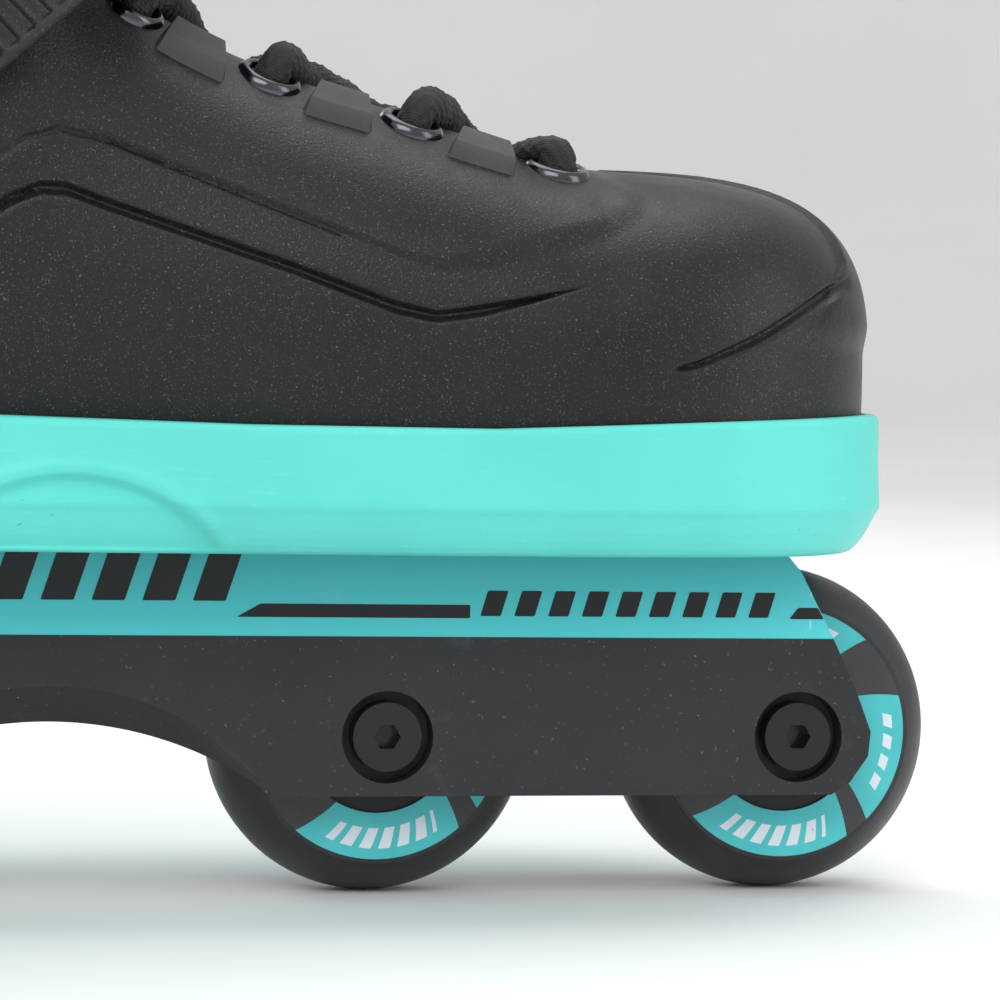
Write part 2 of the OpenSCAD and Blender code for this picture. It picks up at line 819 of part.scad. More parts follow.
module buckle_lever() {
    difference() {
        union() {
            bar_z(lever_x, lever_y, 2.9, 22);
            hull() {
                translate([lever_x - 6, lever_y - 2.6, -11])
                    cube([6, 2.2, 22]);
                translate([-25, -12, -10])
                    cube([4, 1.8, 20]);
            }
        }
        bar_z(lever_x, lever_y, 1.65, 60);
        translate([-17, -14, -4])
            cube([16, 8, 8]);
    }
}

module buckle_pins() {
    bar_z(lever_x, lever_y, 1.59, 31);
    bar_z(catch_x, catch_y, 1.24, 31);
}

module buckle_catch() {
    difference() {
        hull() {
            bar_z(catch_x, catch_y, 2.1, 11);
            translate([catch_x - 9, catch_y - 1.9, -5.5])
                cube([3, 1.4, 11]);
            translate([catch_x + 5, catch_y + 0.6, -5.5])
                cube([2, 1.4, 11]);
        }
        bar_z(catch_x, catch_y, 1.28, 60);
    }
}

// Torsion spring: turns beside the catch, on its pin
module buckle_spring() {
    for (k = [0:3])
        translate([catch_x, catch_y, 6.6 + k * 1.15])
            rotate_extrude($fn = 32)
                translate([1.9, 0])
                    circle(r = 0.5, $fn = 12);
    translate([catch_x, catch_y, 6.6])
        rotate_extrude($fn = 32)
            translate([1.45, -0.1])
                square([0.4, 3.7]);
}

module rivets(which) {
    color([0.6, 0.61, 0.63])
        for (x = [-20, 2])
            buckle_place(which)
                translate([x, 3, 0])
                    rotate([90, 0, 0])
                        cylinder(h = 4.75, r = 1.65);
}

tyre(1);  // tyre_1
tyre(2);  // tyre_2
tyre(3);  // tyre_3
tyre(4);  // tyre_4
core(1);  // core_1
core(2);  // core_2
core(3);  // core_3
core(4);  // core_4
bearing_outer(1);  // bearing_outer_1
bearing_outer(2);  // bearing_outer_2
bearing_outer(3);  // bearing_outer_3
bearing_outer(4);  // bearing_outer_4
bearing_balls(1);  // bearing_balls_1
bearing_balls(2);  // bearing_balls_2
bearing_balls(3);  // bearing_balls_3
bearing_balls(4);  // bearing_balls_4
bearing_inner_rings();
bearing_spacers();
axle_bolts();
axle_nuts();
frame();
frame_bolts();
frame_nuts();
soul_plate();
plate_screws();
boot_shell();
boot_board();
shock_pad();
liner_foot();
footbed();
tongue_lower();
tongue_upper();
eyelets();
laces();
cuff();
liner_cuff();
pivot_bolts();
pivot_bushes();
pivot_washers();
pivot_nuts();
instep_strap();
instep_pad();
cuff_strap();
color([0.05, 0.05, 0.055]) buckle_place("instep") buckle_base();  // instep_buckle_base
color([0.05, 0.05, 0.055]) buckle_place("instep") buckle_lever();  // instep_buckle_lever
color([0.8, 0.8, 0.82]) buckle_place("instep") buckle_pins();  // instep_buckle_pins
color([0.05, 0.05, 0.055]) buckle_place("instep") buckle_catch();  // instep_buckle_catch
color([0.7, 0.7, 0.72]) buckle_place("instep") buckle_spring();  // instep_buckle_spring
rivets("instep");  // instep_rivets
strap_anchor(instep_hold);  // instep_anchor
anchor_screw(instep_hold);  // instep_screw
color([0.05, 0.05, 0.055]) buckle_place("cuff") buckle_base();  // cuff_buckle_base
color([0.05, 0.05, 0.055]) buckle_place("cuff") buckle_lever();  // cuff_buckle_lever
color([0.8, 0.8, 0.82]) buckle_place("cuff") buckle_pins();  // cuff_buckle_pins
color([0.05, 0.05, 0.055]) buckle_place("cuff") buckle_catch();  // cuff_buckle_catch
color([0.7, 0.7, 0.72]) buckle_place("cuff") buckle_spring();  // cuff_buckle_spring
rivets("cuff");  // cuff_rivets
strap_anchor(cuff_hold);  // cuff_anchor
anchor_screw(cuff_hold);  // cuff_screw
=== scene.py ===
"""Inline skate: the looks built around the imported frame. Lengths in the tables are millimetres."""

import math

import bmesh
import bpy
import numpy as np
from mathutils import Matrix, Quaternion, Vector


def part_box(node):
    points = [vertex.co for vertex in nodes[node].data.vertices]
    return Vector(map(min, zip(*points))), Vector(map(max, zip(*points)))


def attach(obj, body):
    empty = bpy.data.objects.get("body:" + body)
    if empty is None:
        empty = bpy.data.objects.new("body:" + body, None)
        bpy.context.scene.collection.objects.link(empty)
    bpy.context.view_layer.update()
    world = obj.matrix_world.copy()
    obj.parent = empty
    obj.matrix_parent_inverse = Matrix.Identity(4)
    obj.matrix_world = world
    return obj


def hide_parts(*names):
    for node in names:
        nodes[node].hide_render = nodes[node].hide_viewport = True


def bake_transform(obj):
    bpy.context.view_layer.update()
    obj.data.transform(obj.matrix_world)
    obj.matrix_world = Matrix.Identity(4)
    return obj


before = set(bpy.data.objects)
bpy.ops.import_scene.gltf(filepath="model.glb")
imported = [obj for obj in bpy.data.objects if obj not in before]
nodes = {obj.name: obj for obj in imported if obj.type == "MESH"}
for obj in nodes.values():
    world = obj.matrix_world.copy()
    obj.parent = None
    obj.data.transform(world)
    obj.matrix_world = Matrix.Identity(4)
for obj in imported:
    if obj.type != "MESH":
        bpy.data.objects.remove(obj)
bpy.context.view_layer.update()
scene = bpy.context.scene
MM = 0.001
scene.view_settings.view_transform = "Standard"

# ---------------------------------------------------------------- camera, floor and light

CAMERA_PLACE = (-0.0584, -0.646, 0.0930)
CAMERA_AIM = (0.0814, 0, 0.0693)
CAMERA_ROLL = 1.2
CAMERA_LENS = 133.5

cam_data = bpy.data.cameras.new("camera")
cam_data.sensor_width = 36
cam_data.lens = CAMERA_LENS
cam = bpy.data.objects.new("camera", cam_data)
scene.collection.objects.link(cam)
cam.location = CAMERA_PLACE
aim = Vector(CAMERA_AIM) - cam.location
cam.rotation_mode = "QUATERNION"
cam.rotation_quaternion = aim.to_track_quat("-Z", "Y") @ Quaternion((0, 0, 1), math.radians(CAMERA_ROLL))
cam_data.clip_start, cam_data.clip_end = 0.01, 60
scene.camera = cam


def link_mesh(name, verts, faces, smooth=True, sharp=None):
    """Object of a mesh in metres."""
    me = bpy.data.meshes.new(name)
    me.from_pydata([tuple(v) for v in verts], [], [tuple(f) for f in faces])
    me.validate()
    me.update()
    if smooth:
        me.polygons.foreach_set("use_smooth", [True] * len(me.polygons))
        if sharp:
            me.set_sharp_from_angle(angle=math.radians(sharp))
    obj = bpy.data.objects.new(name, me)
    scene.collection.objects.link(obj)
    return obj


def backdrop():
    """Round floor that curves up into a wall."""
    profile = [(0, 0), (1, 0), (2.4, 0), (3.2, 0.05), (3.9, 0.3), (4.4, 0.8), (4.7, 1.6), (4.8, 3.2)]
    count = 96
    verts = [(0, 0, 0)]
    faces = []
    for r, z in profile[1:]:
        for i in range(count):
            a = 2 * math.pi * i / count
            verts.append((r * math.cos(a), r * math.sin(a), z))
    for i in range(count):
        faces.append((0, 1 + i, 1 + (i + 1) % count))
    for j in range(len(profile) - 2):
        for i in range(count):
            a, b = 1 + j * count + i, 1 + j * count + (i + 1) % count
            faces.append((a, a + count, b + count, b))
    obj = link_mesh("floor", verts, faces)
    return obj


def area_light(name, place, target, size, power, colour=(1, 1, 1)):
    data = bpy.data.lights.new(name, "AREA")
    data.shape = "RECTANGLE"
    data.size, data.size_y = size
    data.energy = power
    data.color = colour
    obj = bpy.data.objects.new(name, data)
    scene.collection.objects.link(obj)
    obj.location = place
    obj.rotation_euler = (Vector(target) - Vector(place)).to_track_quat("-Z", "Y").to_euler()
    return obj


floor = backdrop()
area_light("key", (-0.5, -1.5, 1.3), (0.05, 0, 0.1), (1.4, 0.9), 14)
area_light("side", (1.6, -0.9, 0.7), (0.1, 0, 0.1), (0.8, 1.2), 7)
area_light("top", (0.1, 0.3, 1.8), (0.05, 0, 0.1), (1.6, 1.2), 15)
area_light("back", (-0.9, 1.6, 0.9), (0, 0, 0.1), (1.2, 0.9), 10)
world = bpy.data.worlds.new("studio")
scene.world = world
world.use_nodes = True
world.node_tree.nodes["Background"].inputs["Color"].default_value = (1.0, 1.0, 1.0, 1)
world.node_tree.nodes["Background"].inputs["Strength"].default_value = 0.72

# ---------------------------------------------------------------- materials


class Tree:
    """Short forms for building one material's nodes."""

    def __init__(self, name):
        self.material = bpy.data.materials.new(name)
        self.material.use_nodes = True
        self.tree = self.material.node_tree
        self.shader = self.tree.nodes["Principled BSDF"]
        self.place = self.node("ShaderNodeTexCoord").outputs["Object"]

    def node(self, kind, inputs=None, **settings):
        made = self.tree.nodes.new(kind)
        for key, value in settings.items():
            setattr(made, key, value)
        for key, value in (inputs or {}).items():
            if isinstance(value, bpy.types.NodeSocket):
                self.tree.links.new(value, made.inputs[key])
            else:
                made.inputs[key].default_value = value
        return made

    def calc(self, operation, a, b=0.0, c=0.0):
        return self.node("ShaderNodeMath", {0: a, 1: b, 2: c}, operation=operation).outputs[0]

    def noise(self, scale, detail=2.0, rough=0.5, stretch=None):
        where = self.place
        if stretch:
            where = self.node("ShaderNodeVectorMath", {0: self.place, 1: stretch}, operation="MULTIPLY").outputs[0]
        made = self.node("ShaderNodeTexNoise", {"Vector": where, "Scale": scale, "Detail": detail, "Roughness": rough})
        return made.outputs["Fac"]

    def span(self, value, low, high, to_low=0.0, to_high=1.0):
        made = self.node("ShaderNodeMapRange", {"Value": value, "From Min": low, "From Max": high,
                                                "To Min": to_low, "To Max": to_high})
        made.clamp = True
        return made.outputs["Result"]

    def mix(self, share, a, b):
        made = self.node("ShaderNodeMix", data_type="RGBA")
        for index, value in ((0, share), (6, a), (7, b)):
            if isinstance(value, bpy.types.NodeSocket):
                self.tree.links.new(value, made.inputs[index])
            else:
                made.inputs[index].default_value = value if index == 0 else (*value[:3], 1)
        return made.outputs[2]

    def axes(self):
        made = self.node("ShaderNodeSeparateXYZ", {0: self.place})
        return made.outputs[0], made.outputs[1], made.outputs[2]

    def colour(self, socket):
        self.tree.links.new(socket, self.shader.inputs["Base Color"])

    def rough(self, low, high, scale=180.0):
        grain = self.noise(scale, 4.0, 0.6)
        self.tree.links.new(self.span(grain, 0.3, 0.7, low, high), self.shader.inputs["Roughness"])

    def bump(self, layers):
        """Bumps as [(height socket, depth in metres), ...], one on top of the other."""
        normal = None
        for height, depth in layers:
            made = self.node("ShaderNodeBump", {"Height": height, "Distance": depth, "Strength": 1.0})
            if normal is not None:
                self.tree.links.new(normal, made.inputs["Normal"])
            normal = made.outputs[0]
        self.tree.links.new(normal, self.shader.inputs["Normal"])

    def put(self, **values):
        for key, value in values.items():
            self.shader.inputs[key.replace("_", " ")].default_value = value
        return self


def shade(colour, factor):
    return tuple(min(1.0, c * factor) for c in colour)


def moulded(name, colour, rough=(0.38, 0.5), grain=(2600.0, 0.00006), spots=0.0, vary=0.12, extra=None):
    """Moulded plastic: fine grain, slow colour drift and light specks."""
    t = Tree(name)
    drift = t.noise(28.0, 3.0)
    base = t.mix(t.span(drift, 0.3, 0.7), shade(colour, 1 - vary), shade(colour, 1 + vary))
    if spots:
        speck = t.noise(3400.0, 1.0, 0.4)
        light = t.span(speck, 0.64, 0.8, 0.0, spots)
        base = t.mix(light, base, (0.40, 0.41, 0.44))
    if extra:
        base = extra(t, base)
    t.colour(base)
    t.rough(*rough)
    t.put(Specular_IOR_Level=0.32)
    t.bump([(t.noise(grain[0], 2.0, 0.6), grain[1]), (t.noise(300.0, 3.0), 0.00005)])
    return t.material


def metal(name, colour, rough=(0.2, 0.3), brush=None):
    t = Tree(name)
    drift = t.noise(60.0, 3.0)
    t.colour(t.mix(t.span(drift, 0.3, 0.7), shade(colour, 0.85), colour))
    t.put(Metallic=1.0)
    t.rough(*rough, scale=400.0)
    t.bump([(t.noise(900.0, 3.0, 0.6, brush), 0.000015)])
    return t.material


def woven(name, colour, pitch=0.0014, depth=0.0002, sheen=0.25, rough=(0.8, 0.95)):
    """Fabric: two crossed thread directions and fuzz."""
    t = Tree(name)
    x, y, z = t.axes()
    k = 2 * math.pi / pitch
    along = t.calc("SINE", t.calc("MULTIPLY", t.calc("ADD", x, t.calc("MULTIPLY", z, 0.6)), k))
    across = t.calc("SINE", t.calc("MULTIPLY", t.calc("SUBTRACT", t.calc("ADD", z, y), t.calc("MULTIPLY", x, 0.5)), k))
    weave = t.calc("MULTIPLY", along, across)
    fuzz = t.noise(1800.0, 3.0, 0.7)
    share = t.calc("ADD", t.calc("MULTIPLY", weave, 0.3), fuzz)
    t.colour(t.mix(t.span(share, 0.2, 0.9), shade(colour, 0.55), shade(colour, 1.5)))
    t.rough(*rough)
    t.put(Sheen_Weight=sheen, Sheen_Roughness=0.5)
    t.bump([(t.span(weave, -1, 1), depth), (fuzz, depth * 0.7)])
    return t.material


BLACK = (0.017, 0.0175, 0.020)
CHARCOAL = (0.024, 0.0245, 0.028)
TEAL = (0.075, 0.52, 0.56)
TURQUOISE = (0.115, 0.66, 0.585)

m_shell = moulded("shell_black", (0.0095, 0.0096, 0.0105), (0.34, 0.44), (2100.0, 0.00009), spots=0.30)
m_gloss = moulded("gloss_black", (0.010, 0.010, 0.012), (0.12, 0.22), (1500.0, 0.00001))
m_buckle = moulded("buckle_black", (0.014, 0.014, 0.016), (0.24, 0.36), (1800.0, 0.00003), spots=0.15)
m_strap = moulded("strap_black", (0.015, 0.0155, 0.018), (0.4, 0.52), (1900.0, 0.00007), spots=0.2)
m_boss = moulded("boss_grey", (0.060, 0.061, 0.063), (0.6, 0.75), (2000.0, 0.00006), spots=0.1)
m_cuff = moulded("cuff_black", (0.013, 0.0133, 0.015), (0.35, 0.46), (2200.0, 0.00008), spots=0.18)
m_core = moulded("core_black", (0.015, 0.015, 0.017), (0.4, 0.55), (1800.0, 0.00004))
m_steel = metal("steel", (0.62, 0.63, 0.66), (0.22, 0.34))
m_chrome = metal("chrome", (0.86, 0.87, 0.9), (0.06, 0.13))
m_gun = metal("dark_metal", (0.10, 0.10, 0.11), (0.14, 0.24))
m_balls = metal("balls", (0.8, 0.81, 0.84), (0.05, 0.1))
m_fabric = woven("liner_fabric", (0.035, 0.036, 0.04))
m_lining = woven("lining_fabric", (0.06, 0.062, 0.07), pitch=0.0018, sheen=0.4)
m_foam = woven("foam", (0.06, 0.075, 0.08), pitch=0.0022, depth=0.0003)
m_footbed = woven("footbed_cloth", (0.05, 0.17, 0.19), pitch=0.0016)


def plate_marks(t, base):
    """Soul plate: faint scuffs and specks along its ridge."""
    x, y, z = t.axes()
    near = t.span(t.calc("ABSOLUTE", t.calc("SUBTRACT", z, 0.0685)), 0.0012, 0.006, 1.0, 0.0)
    fleck = t.span(t.noise(700.0, 3.0, 0.6, (1, 1, 2.5)), 0.68, 0.72)
    patch = t.span(t.noise(26.0, 2.0), 0.56, 0.66)
    share = t.calc("MULTIPLY", t.calc("MULTIPLY", near, fleck), patch)
    marked = t.mix(share, base, (0.02, 0.16, 0.2))
    haze = t.span(t.noise(160.0, 4.0, 0.7, (1, 1, 5)), 0.6, 0.8, 0.0, 0.35)
    return t.mix(haze, marked, (0.22, 0.80, 0.72))


m_plate = moulded("plate_turquoise", TURQUOISE, (0.4, 0.5), (1500.0, 0.00003), vary=0.05, extra=plate_marks)


def frame_print_and_painted_shade(t, base):
    """Frame: teal above the parting line, darkened towards the top by painted shade under the soul plate, and charcoal
    below it, with fine scratches.
    """
    x, y, z = t.axes()
    upper = t.span(z, 0.0463, 0.04645)
    side = t.span(t.calc("ABSOLUTE", y), 0.0205, 0.0207)
    # painted shade: the teal grows darker towards the top, standing in for the soul plate's shadow on the frame
    teal = t.mix(t.span(z, 0.0475, 0.0605), shade(TEAL, 1.15), shade(TEAL, 0.72))
    light = t.span(t.noise(1500.0, 2.0, 0.5), 0.69, 0.78, 0.0, 0.3)
    dark = t.mix(light, base, (0.35, 0.37, 0.42))
    both = t.mix(t.calc("MULTIPLY", upper, side), dark, teal)
    scratch = t.span(t.noise(110.0, 3.0, 0.55, (3.0, 1.0, 0.35)), 0.655, 0.675)
    place = t.span(x, 0.094, 0.128)
    share = t.calc("MULTIPLY", t.calc("MULTIPLY", scratch, place), t.calc("MULTIPLY", upper, 0.75))
    scuff = t.mix(share, both, (0.55, 0.85, 0.88))
    smear = t.span(t.noise(70.0, 4.0, 0.6), 0.6, 0.8, 0.0, 0.10)
    return t.mix(smear, scuff, (0.4, 0.45, 0.5))


m_frame = moulded("frame_print_and_painted_shade", CHARCOAL, (0.42, 0.56), (1700.0, 0.00004), extra=frame_print_and_painted_shade)
m_decal = moulded("decal_black", (0.008, 0.009, 0.010), (0.3, 0.45), (1500.0, 0.00001))


def tyre_material(index, centre, turn):
    """Tyre: side print in teal and dark sectors with light bars, plain rubber outside it."""
    t = Tree("tyre_print_%d" % index)
    x, y, z = t.axes()
    dx = t.calc("SUBTRACT", x, centre[0])
    dz = t.calc("SUBTRACT", z, centre[2])
    radius = t.calc("SQRT", t.calc("ADD", t.calc("MULTIPLY", dx, dx), t.calc("MULTIPLY", dz, dz)))
    angle = t.calc("ARCTAN2", dz, dx)
    turns = t.calc("DIVIDE", angle, 2 * math.pi)
    ring = t.calc("MULTIPLY", t.span(radius, 0.0141, 0.0142), t.span(radius, 0.0222, 0.0223, 1.0, 0.0))
    # a sector leans a little as it goes outwards
    leaned = t.calc("ADD", turns, t.calc("MULTIPLY", t.calc("SUBTRACT", radius, 0.018), 3.2))

    def sector(first, last, source):
        width = ((last - first) % 360) / 360.0
        start = (first + turn) / 360.0
        local = t.calc("FRACT", t.calc("ADD", t.calc("SUBTRACT", source, start), 10.0))
        return t.calc("LESS_THAN", local, width), t.calc("DIVIDE", local, width)

    teal = None
    bars = None
    for first, last in ((-133, -52), (-40, 22), (53, 112), (150, 205)):
        inside, share = sector(first, last, leaned)
        teal = inside if teal is None else t.calc("MAXIMUM", teal, inside)
        count = 6 if first < -90 else 4
        middle = t.calc("MULTIPLY", t.calc("GREATER_THAN", share, 0.14), t.calc("LESS_THAN", share, 0.86))
        dash = t.calc("LESS_THAN", t.calc("FRACT", t.calc("MULTIPLY", share, count * 1.4)), 0.62)
        low, high = (0.0168, 0.0204) if first < -90 else (0.0186, 0.0202)
        band = t.calc("MULTIPLY", t.calc("GREATER_THAN", radius, low), t.calc("LESS_THAN", radius, high))
        here = t.calc("MULTIPLY", t.calc("MULTIPLY", inside, middle), t.calc("MULTIPLY", dash, band))
        bars = here if bars is None else t.calc("MAXIMUM", bars, here)
    drift = t.span(t.noise(90.0, 3.0), 0.3, 0.7)
    rubber = t.mix(drift, (0.013, 0.0135, 0.015), (0.020, 0.021, 0.023))
    grey = t.mix(drift, (0.030, 0.031, 0.035), (0.040, 0.042, 0.047))
    blue = t.mix(drift, (0.055, 0.50, 0.53), (0.075, 0.58, 0.60))
    printed = t.mix(teal, grey, blue)
    printed = t.mix(bars, printed, (0.72, 0.80, 0.86))
    worn = t.span(t.noise(500.0, 3.0, 0.7), 0.66, 0.74, 0.0, 0.5)
    printed = t.mix(worn, printed, grey)
    t.colour(t.mix(ring, rubber, printed))
    t.rough(0.36, 0.5)
    edge = t.calc("SUBTRACT", 1.0, t.span(radius, 0.0222, 0.0230))
    t.bump([(edge, 0.0001), (t.noise(1200.0, 2.0, 0.6), 0.00004)])
    return t.material


def dress(name, material, bevel=0.0, segments=2, angle=32):
    """Gives a CAD node its finish, and rounds its hard edges."""
    obj = nodes[name]
    me = obj.data
    me.materials.clear()
    me.materials.append(material)
    if bevel:
        weld = obj.modifiers.new("weld", "WELD")
        weld.merge_threshold = 0.00001
        edges = obj.modifiers.new("bevel", "BEVEL")
        edges.width = bevel
        edges.segments = segments
        edges.limit_method = "ANGLE"
        edges.angle_limit = math.radians(angle)
        edges.harden_normals = False
    return obj


for i in range(1, 5):
    low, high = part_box("tyre_%d" % i)
    dress("tyre_%d" % i, tyre_material(i, (low + high) / 2, (0, 8, -20, 30)[i - 1]))
    dress("core_%d" % i, m_core)
    dress("bearing_outer_%d" % i, m_steel)
    dress("bearing_balls_%d" % i, m_balls)
dress("bearing_inner_rings", m_steel)
dress("bearing_spacers", m_steel)
dress("axle_bolts", m_gloss, bevel=0.0007, segments=3)
dress("axle_nuts", m_gloss, bevel=0.0007, segments=3)
dress("frame", m_frame)
dress("frame_bolts", m_steel)
dress("frame_nuts", m_steel)
dress("plate_screws", m_steel, bevel=0.0003)
dress("soul_plate", m_plate)
dress("boot_shell", m_shell)
dress("boot_board", m_foam)
dress("shock_pad", m_foam)
dress("liner_foot", m_fabric)
dress("footbed", m_footbed)
dress("tongue_lower", m_fabric)
dress("tongue_upper", m_fabric)
dress("eyelets", m_gun)
dress("laces", m_fabric)
dress("cuff", m_cuff)
dress("liner_cuff", m_lining)
dress("pivot_bolts", m_steel, bevel=0.0005)
dress("pivot_bushes", m_buckle, bevel=0.0004)
dress("pivot_washers", m_buckle)
dress("pivot_nuts", m_steel)
dress("instep_strap", m_strap)
dress("instep_pad", m_fabric)
dress("cuff_strap", m_strap)
for which in ("instep", "cuff"):
    dress(which + "_buckle_base", m_buckle, bevel=0.0005)
    dress(which + "_buckle_lever", m_buckle, bevel=0.0007, segments=3)
    dress(which + "_buckle_pins", m_chrome, bevel=0.0004)
    dress(which + "_buckle_catch", m_buckle, bevel=0.0004)
    dress(which + "_buckle_spring", m_steel)
    dress(which + "_rivets", m_steel, bevel=0.0003)
    dress(which + "_anchor", m_buckle, bevel=0.0005)
    dress(which + "_screw", m_steel, bevel=0.0004)

fmat = Tree("floor_pale")
fmat.colour(fmat.mix(fmat.span(fmat.noise(3.0, 3.0), 0.3, 0.7), (0.86, 0.86, 0.865), (0.9, 0.9, 0.905)))
fmat.put(Roughness=0.75)
floor.data.materials.append(fmat.material)

# ---------------------------------------------------------------- shared shape functions, in millimetres

# Boot: [x, half width, height of the widest point, height of the top]
BOOT = [
    (-88, 38.3, 121, 236), (-60, 39.6, 120, 236), (-36, 39.8, 115, 222), (-16, 40.2, 108, 195),
    (0, 41, 102, 167), (16, 42.2, 98, 154), (35, 43.8, 96, 144.7), (59, 45.8, 94, 137.2),
    (80, 47.2, 93, 130.6), (91, 47.4, 92.4, 128.5),
]
TOE_X, HEEL_X, TOE_LENGTH, HEEL_LENGTH, THROAT = 91.0, -88.0, 54.0, 50.0, 15.5
WALL, SOLE_Z = 3.4, 65.8
TOE_HALF, TOE_ROUND, HEEL_HALF, HEEL_ROUND, SIDE_ROUND = 47.4, 2.35, 38.3, 2.4, 0.86


def smooth_at(table, column, x):
    """Smooth value of one column of a table, by its first column."""
    t = np.asarray(table, float)
    x = np.asarray(x, float)
    last = len(t) - 1
    slopes = np.array([(t[min(last, k + 1), column] - t[max(0, k - 1), column])
                       / (t[min(last, k + 1), 0] - t[max(0, k - 1), 0]) for k in range(last + 1)])
    i = np.clip(np.searchsorted(t[:, 0], x, "left") - 1, 0, last - 1)
    h = t[i + 1, 0] - t[i, 0]
    s = np.clip((x - t[i, 0]) / h, 0, 1)
    return ((2 * s**3 - 3 * s * s + 1) * t[i, column] + (s**3 - 2 * s * s + s) * slopes[i] * h
            + (3 * s * s - 2 * s**3) * t[i + 1, column] + (s**3 - s * s) * slopes[i + 1] * h)


def power(v, e):
    """Power that keeps the sign."""
    return np.sign(v) * np.abs(v) ** e


def ease(v):
    """Soft step from 0 to 1."""
    v = np.clip(v, 0, 1)
    return v * v * (3 - 2 * v)


def oval(t, a, b, n):
    """Reach of a rounded oval in a direction."""
    return (np.abs(np.cos(t) / a) ** n + np.abs(np.sin(t) / b) ** n) ** (-1 / n)


def boot_columns(toe, side, heel):
    """Columns round the boot: [foot x, direction, reach, widest height, rise, roundness, throat reach]."""
    rows = []
    for t in np.radians(np.linspace(-90, 90, toe)):
        c = max(0.0, math.cos(t))
        rows.append((TOE_X, t, oval(t, TOE_LENGTH, TOE_HALF, TOE_ROUND), 92.4 - 2.4 * c, 36.1 + 1.4 * c,
                     SIDE_ROUND - 0.29 * c, 12 - 7 * c))
    xs = np.linspace(TOE_X, HEEL_X, side + 2)[1:-1]

    def one(x, t):
        zm = float(smooth_at(BOOT, 2, x))
        throat = THROAT - 3.5 * (x - 60) / 31 if x > 60 else THROAT
        return (x, t, float(smooth_at(BOOT, 1, x)), zm, float(smooth_at(BOOT, 3, x)) - zm, SIDE_ROUND, throat)

    rows += [one(x, math.pi / 2) for x in xs]
    for t in np.radians(np.linspace(90, 270, heel)):
        c = abs(math.cos(t))
        rows.append((HEEL_X, t, oval(t, HEEL_LENGTH, HEEL_HALF, HEEL_ROUND), 121 - 10 * c, 115, SIDE_ROUND, THROAT))
    rows += [one(x, -math.pi / 2) for x in xs[::-1]]
    return np.array(rows)


# Height of the shell's collar, by x
COLLAR = [(-140, 170), (-120, 176), (-75, 180), (-40, 174), (-16, 166), (-4, 163), (4, 168), (12, 260)]


def collar_z(x):
    t = np.array(COLLAR, float)
    return np.interp(x, t[:, 0], t[:, 1])


def column_points(cols, inset, floor_z, wider, higher, corner=12, rows=80):
    """Grid of points, from the sole's edge up to the throat or the collar."""
    foot, way, reach, zm, rise, rnd, throat = cols.T
    reach, rise = reach - inset, rise - inset
    by_throat = np.arccos(np.minimum(1, np.maximum(0, (throat + wider) / reach) ** (1 / rnd)))
    top = collar_z(foot + np.cos(way) * reach * 0.92) + higher
    share = np.clip((top - zm) / rise, 0, 1)
    by_collar = np.where(top - zm > rise, math.pi / 2, np.arcsin(share ** (1 / (rnd + 0.02))))
    end = np.minimum(by_throat, by_collar)
    grid = []
    for phi in np.linspace(0, math.pi / 2, corner, endpoint=False):
        u, d = math.sin(phi) ** (2 / 3.7), math.cos(phi) ** (2 / 3.7)
        r = reach * (0.84 + 0.16 * u)
        grid.append(np.stack([foot + np.cos(way) * r, np.sin(way) * r, zm - (zm - floor_z) * d], 1))
    fine = np.linspace(0, 1, 240)[:, None] * end[None, :]
    r = reach * power(np.cos(fine), rnd)
    z = zm + rise * power(np.sin(fine), rnd + 0.02)
    length = np.vstack([np.zeros(len(cols)), np.cumsum(np.hypot(np.diff(r, axis=0), np.diff(z, axis=0)), axis=0)])
    for k in np.linspace(0, 1, rows):
        rr = np.array([np.interp(k * length[-1, i], length[:, i], r[:, i]) for i in range(len(cols))])
        zz = np.array([np.interp(k * length[-1, i], length[:, i], z[:, i]) for i in range(len(cols))])
        grid.append(np.stack([foot + np.cos(way) * rr, np.sin(way) * rr, zz], 1))
    return np.array(grid)


def grid_normals(grid, closed=True):
    """Unit normals of a grid of points whose second index goes round."""
    up = np.gradient(grid, axis=0)
    if closed:
        round_ = np.roll(grid, -1, axis=1) - np.roll(grid, 1, axis=1)
    else:
        round_ = np.gradient(grid, axis=1)
    n = np.cross(round_, up)
    return n / np.maximum(np.linalg.norm(n, axis=2, keepdims=True), 1e-9)


def loft(name, rings, material, cap="fan", sharp=50):
    """Closed mesh through rings of points in millimetres, all with the same count."""
    rings = np.asarray(rings, float)
    m, n, _ = rings.shape
    verts = [tuple(p) for p in rings.reshape(-1, 3) * MM]
    faces = [(j * n + i, j * n + (i + 1) % n, (j + 1) * n + (i + 1) % n, (j + 1) * n + i)
             for j in range(m - 1) for i in range(n)]
    if cap == "fan":
        for j, flip in ((0, True), (m - 1, False)):
            verts.append(tuple(rings[j].mean(0) * MM))
            c = len(verts) - 1
            for i in range(n):
                a, b = j * n + i, j * n + (i + 1) % n
                faces.append((c, b, a) if flip else (c, a, b))
    elif cap == "strip":
        half = n // 2
        for j, flip in ((0, True), (m - 1, False)):
            for i in range(half - 1):
                q = (j * n + i, j * n + i + 1, j * n + n - 2 - i, j * n + n - 1 - i)
                faces.append(q[::-1] if flip else q)
    obj = link_mesh(name, verts, faces, sharp=sharp)
    bm = bmesh.new()
    bm.from_mesh(obj.data)
    bmesh.ops.recalc_face_normals(bm, faces=bm.faces)
    bm.to_mesh(obj.data)
    bm.free()
    obj.data.materials.append(material)
    return obj


def settle(obj, body, slot, *stands_for):
    """Puts a piece on its body and hides the CAD nodes it stands for."""
    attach(obj, body)
    if stands_for:
        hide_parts(*stands_for)
    return obj


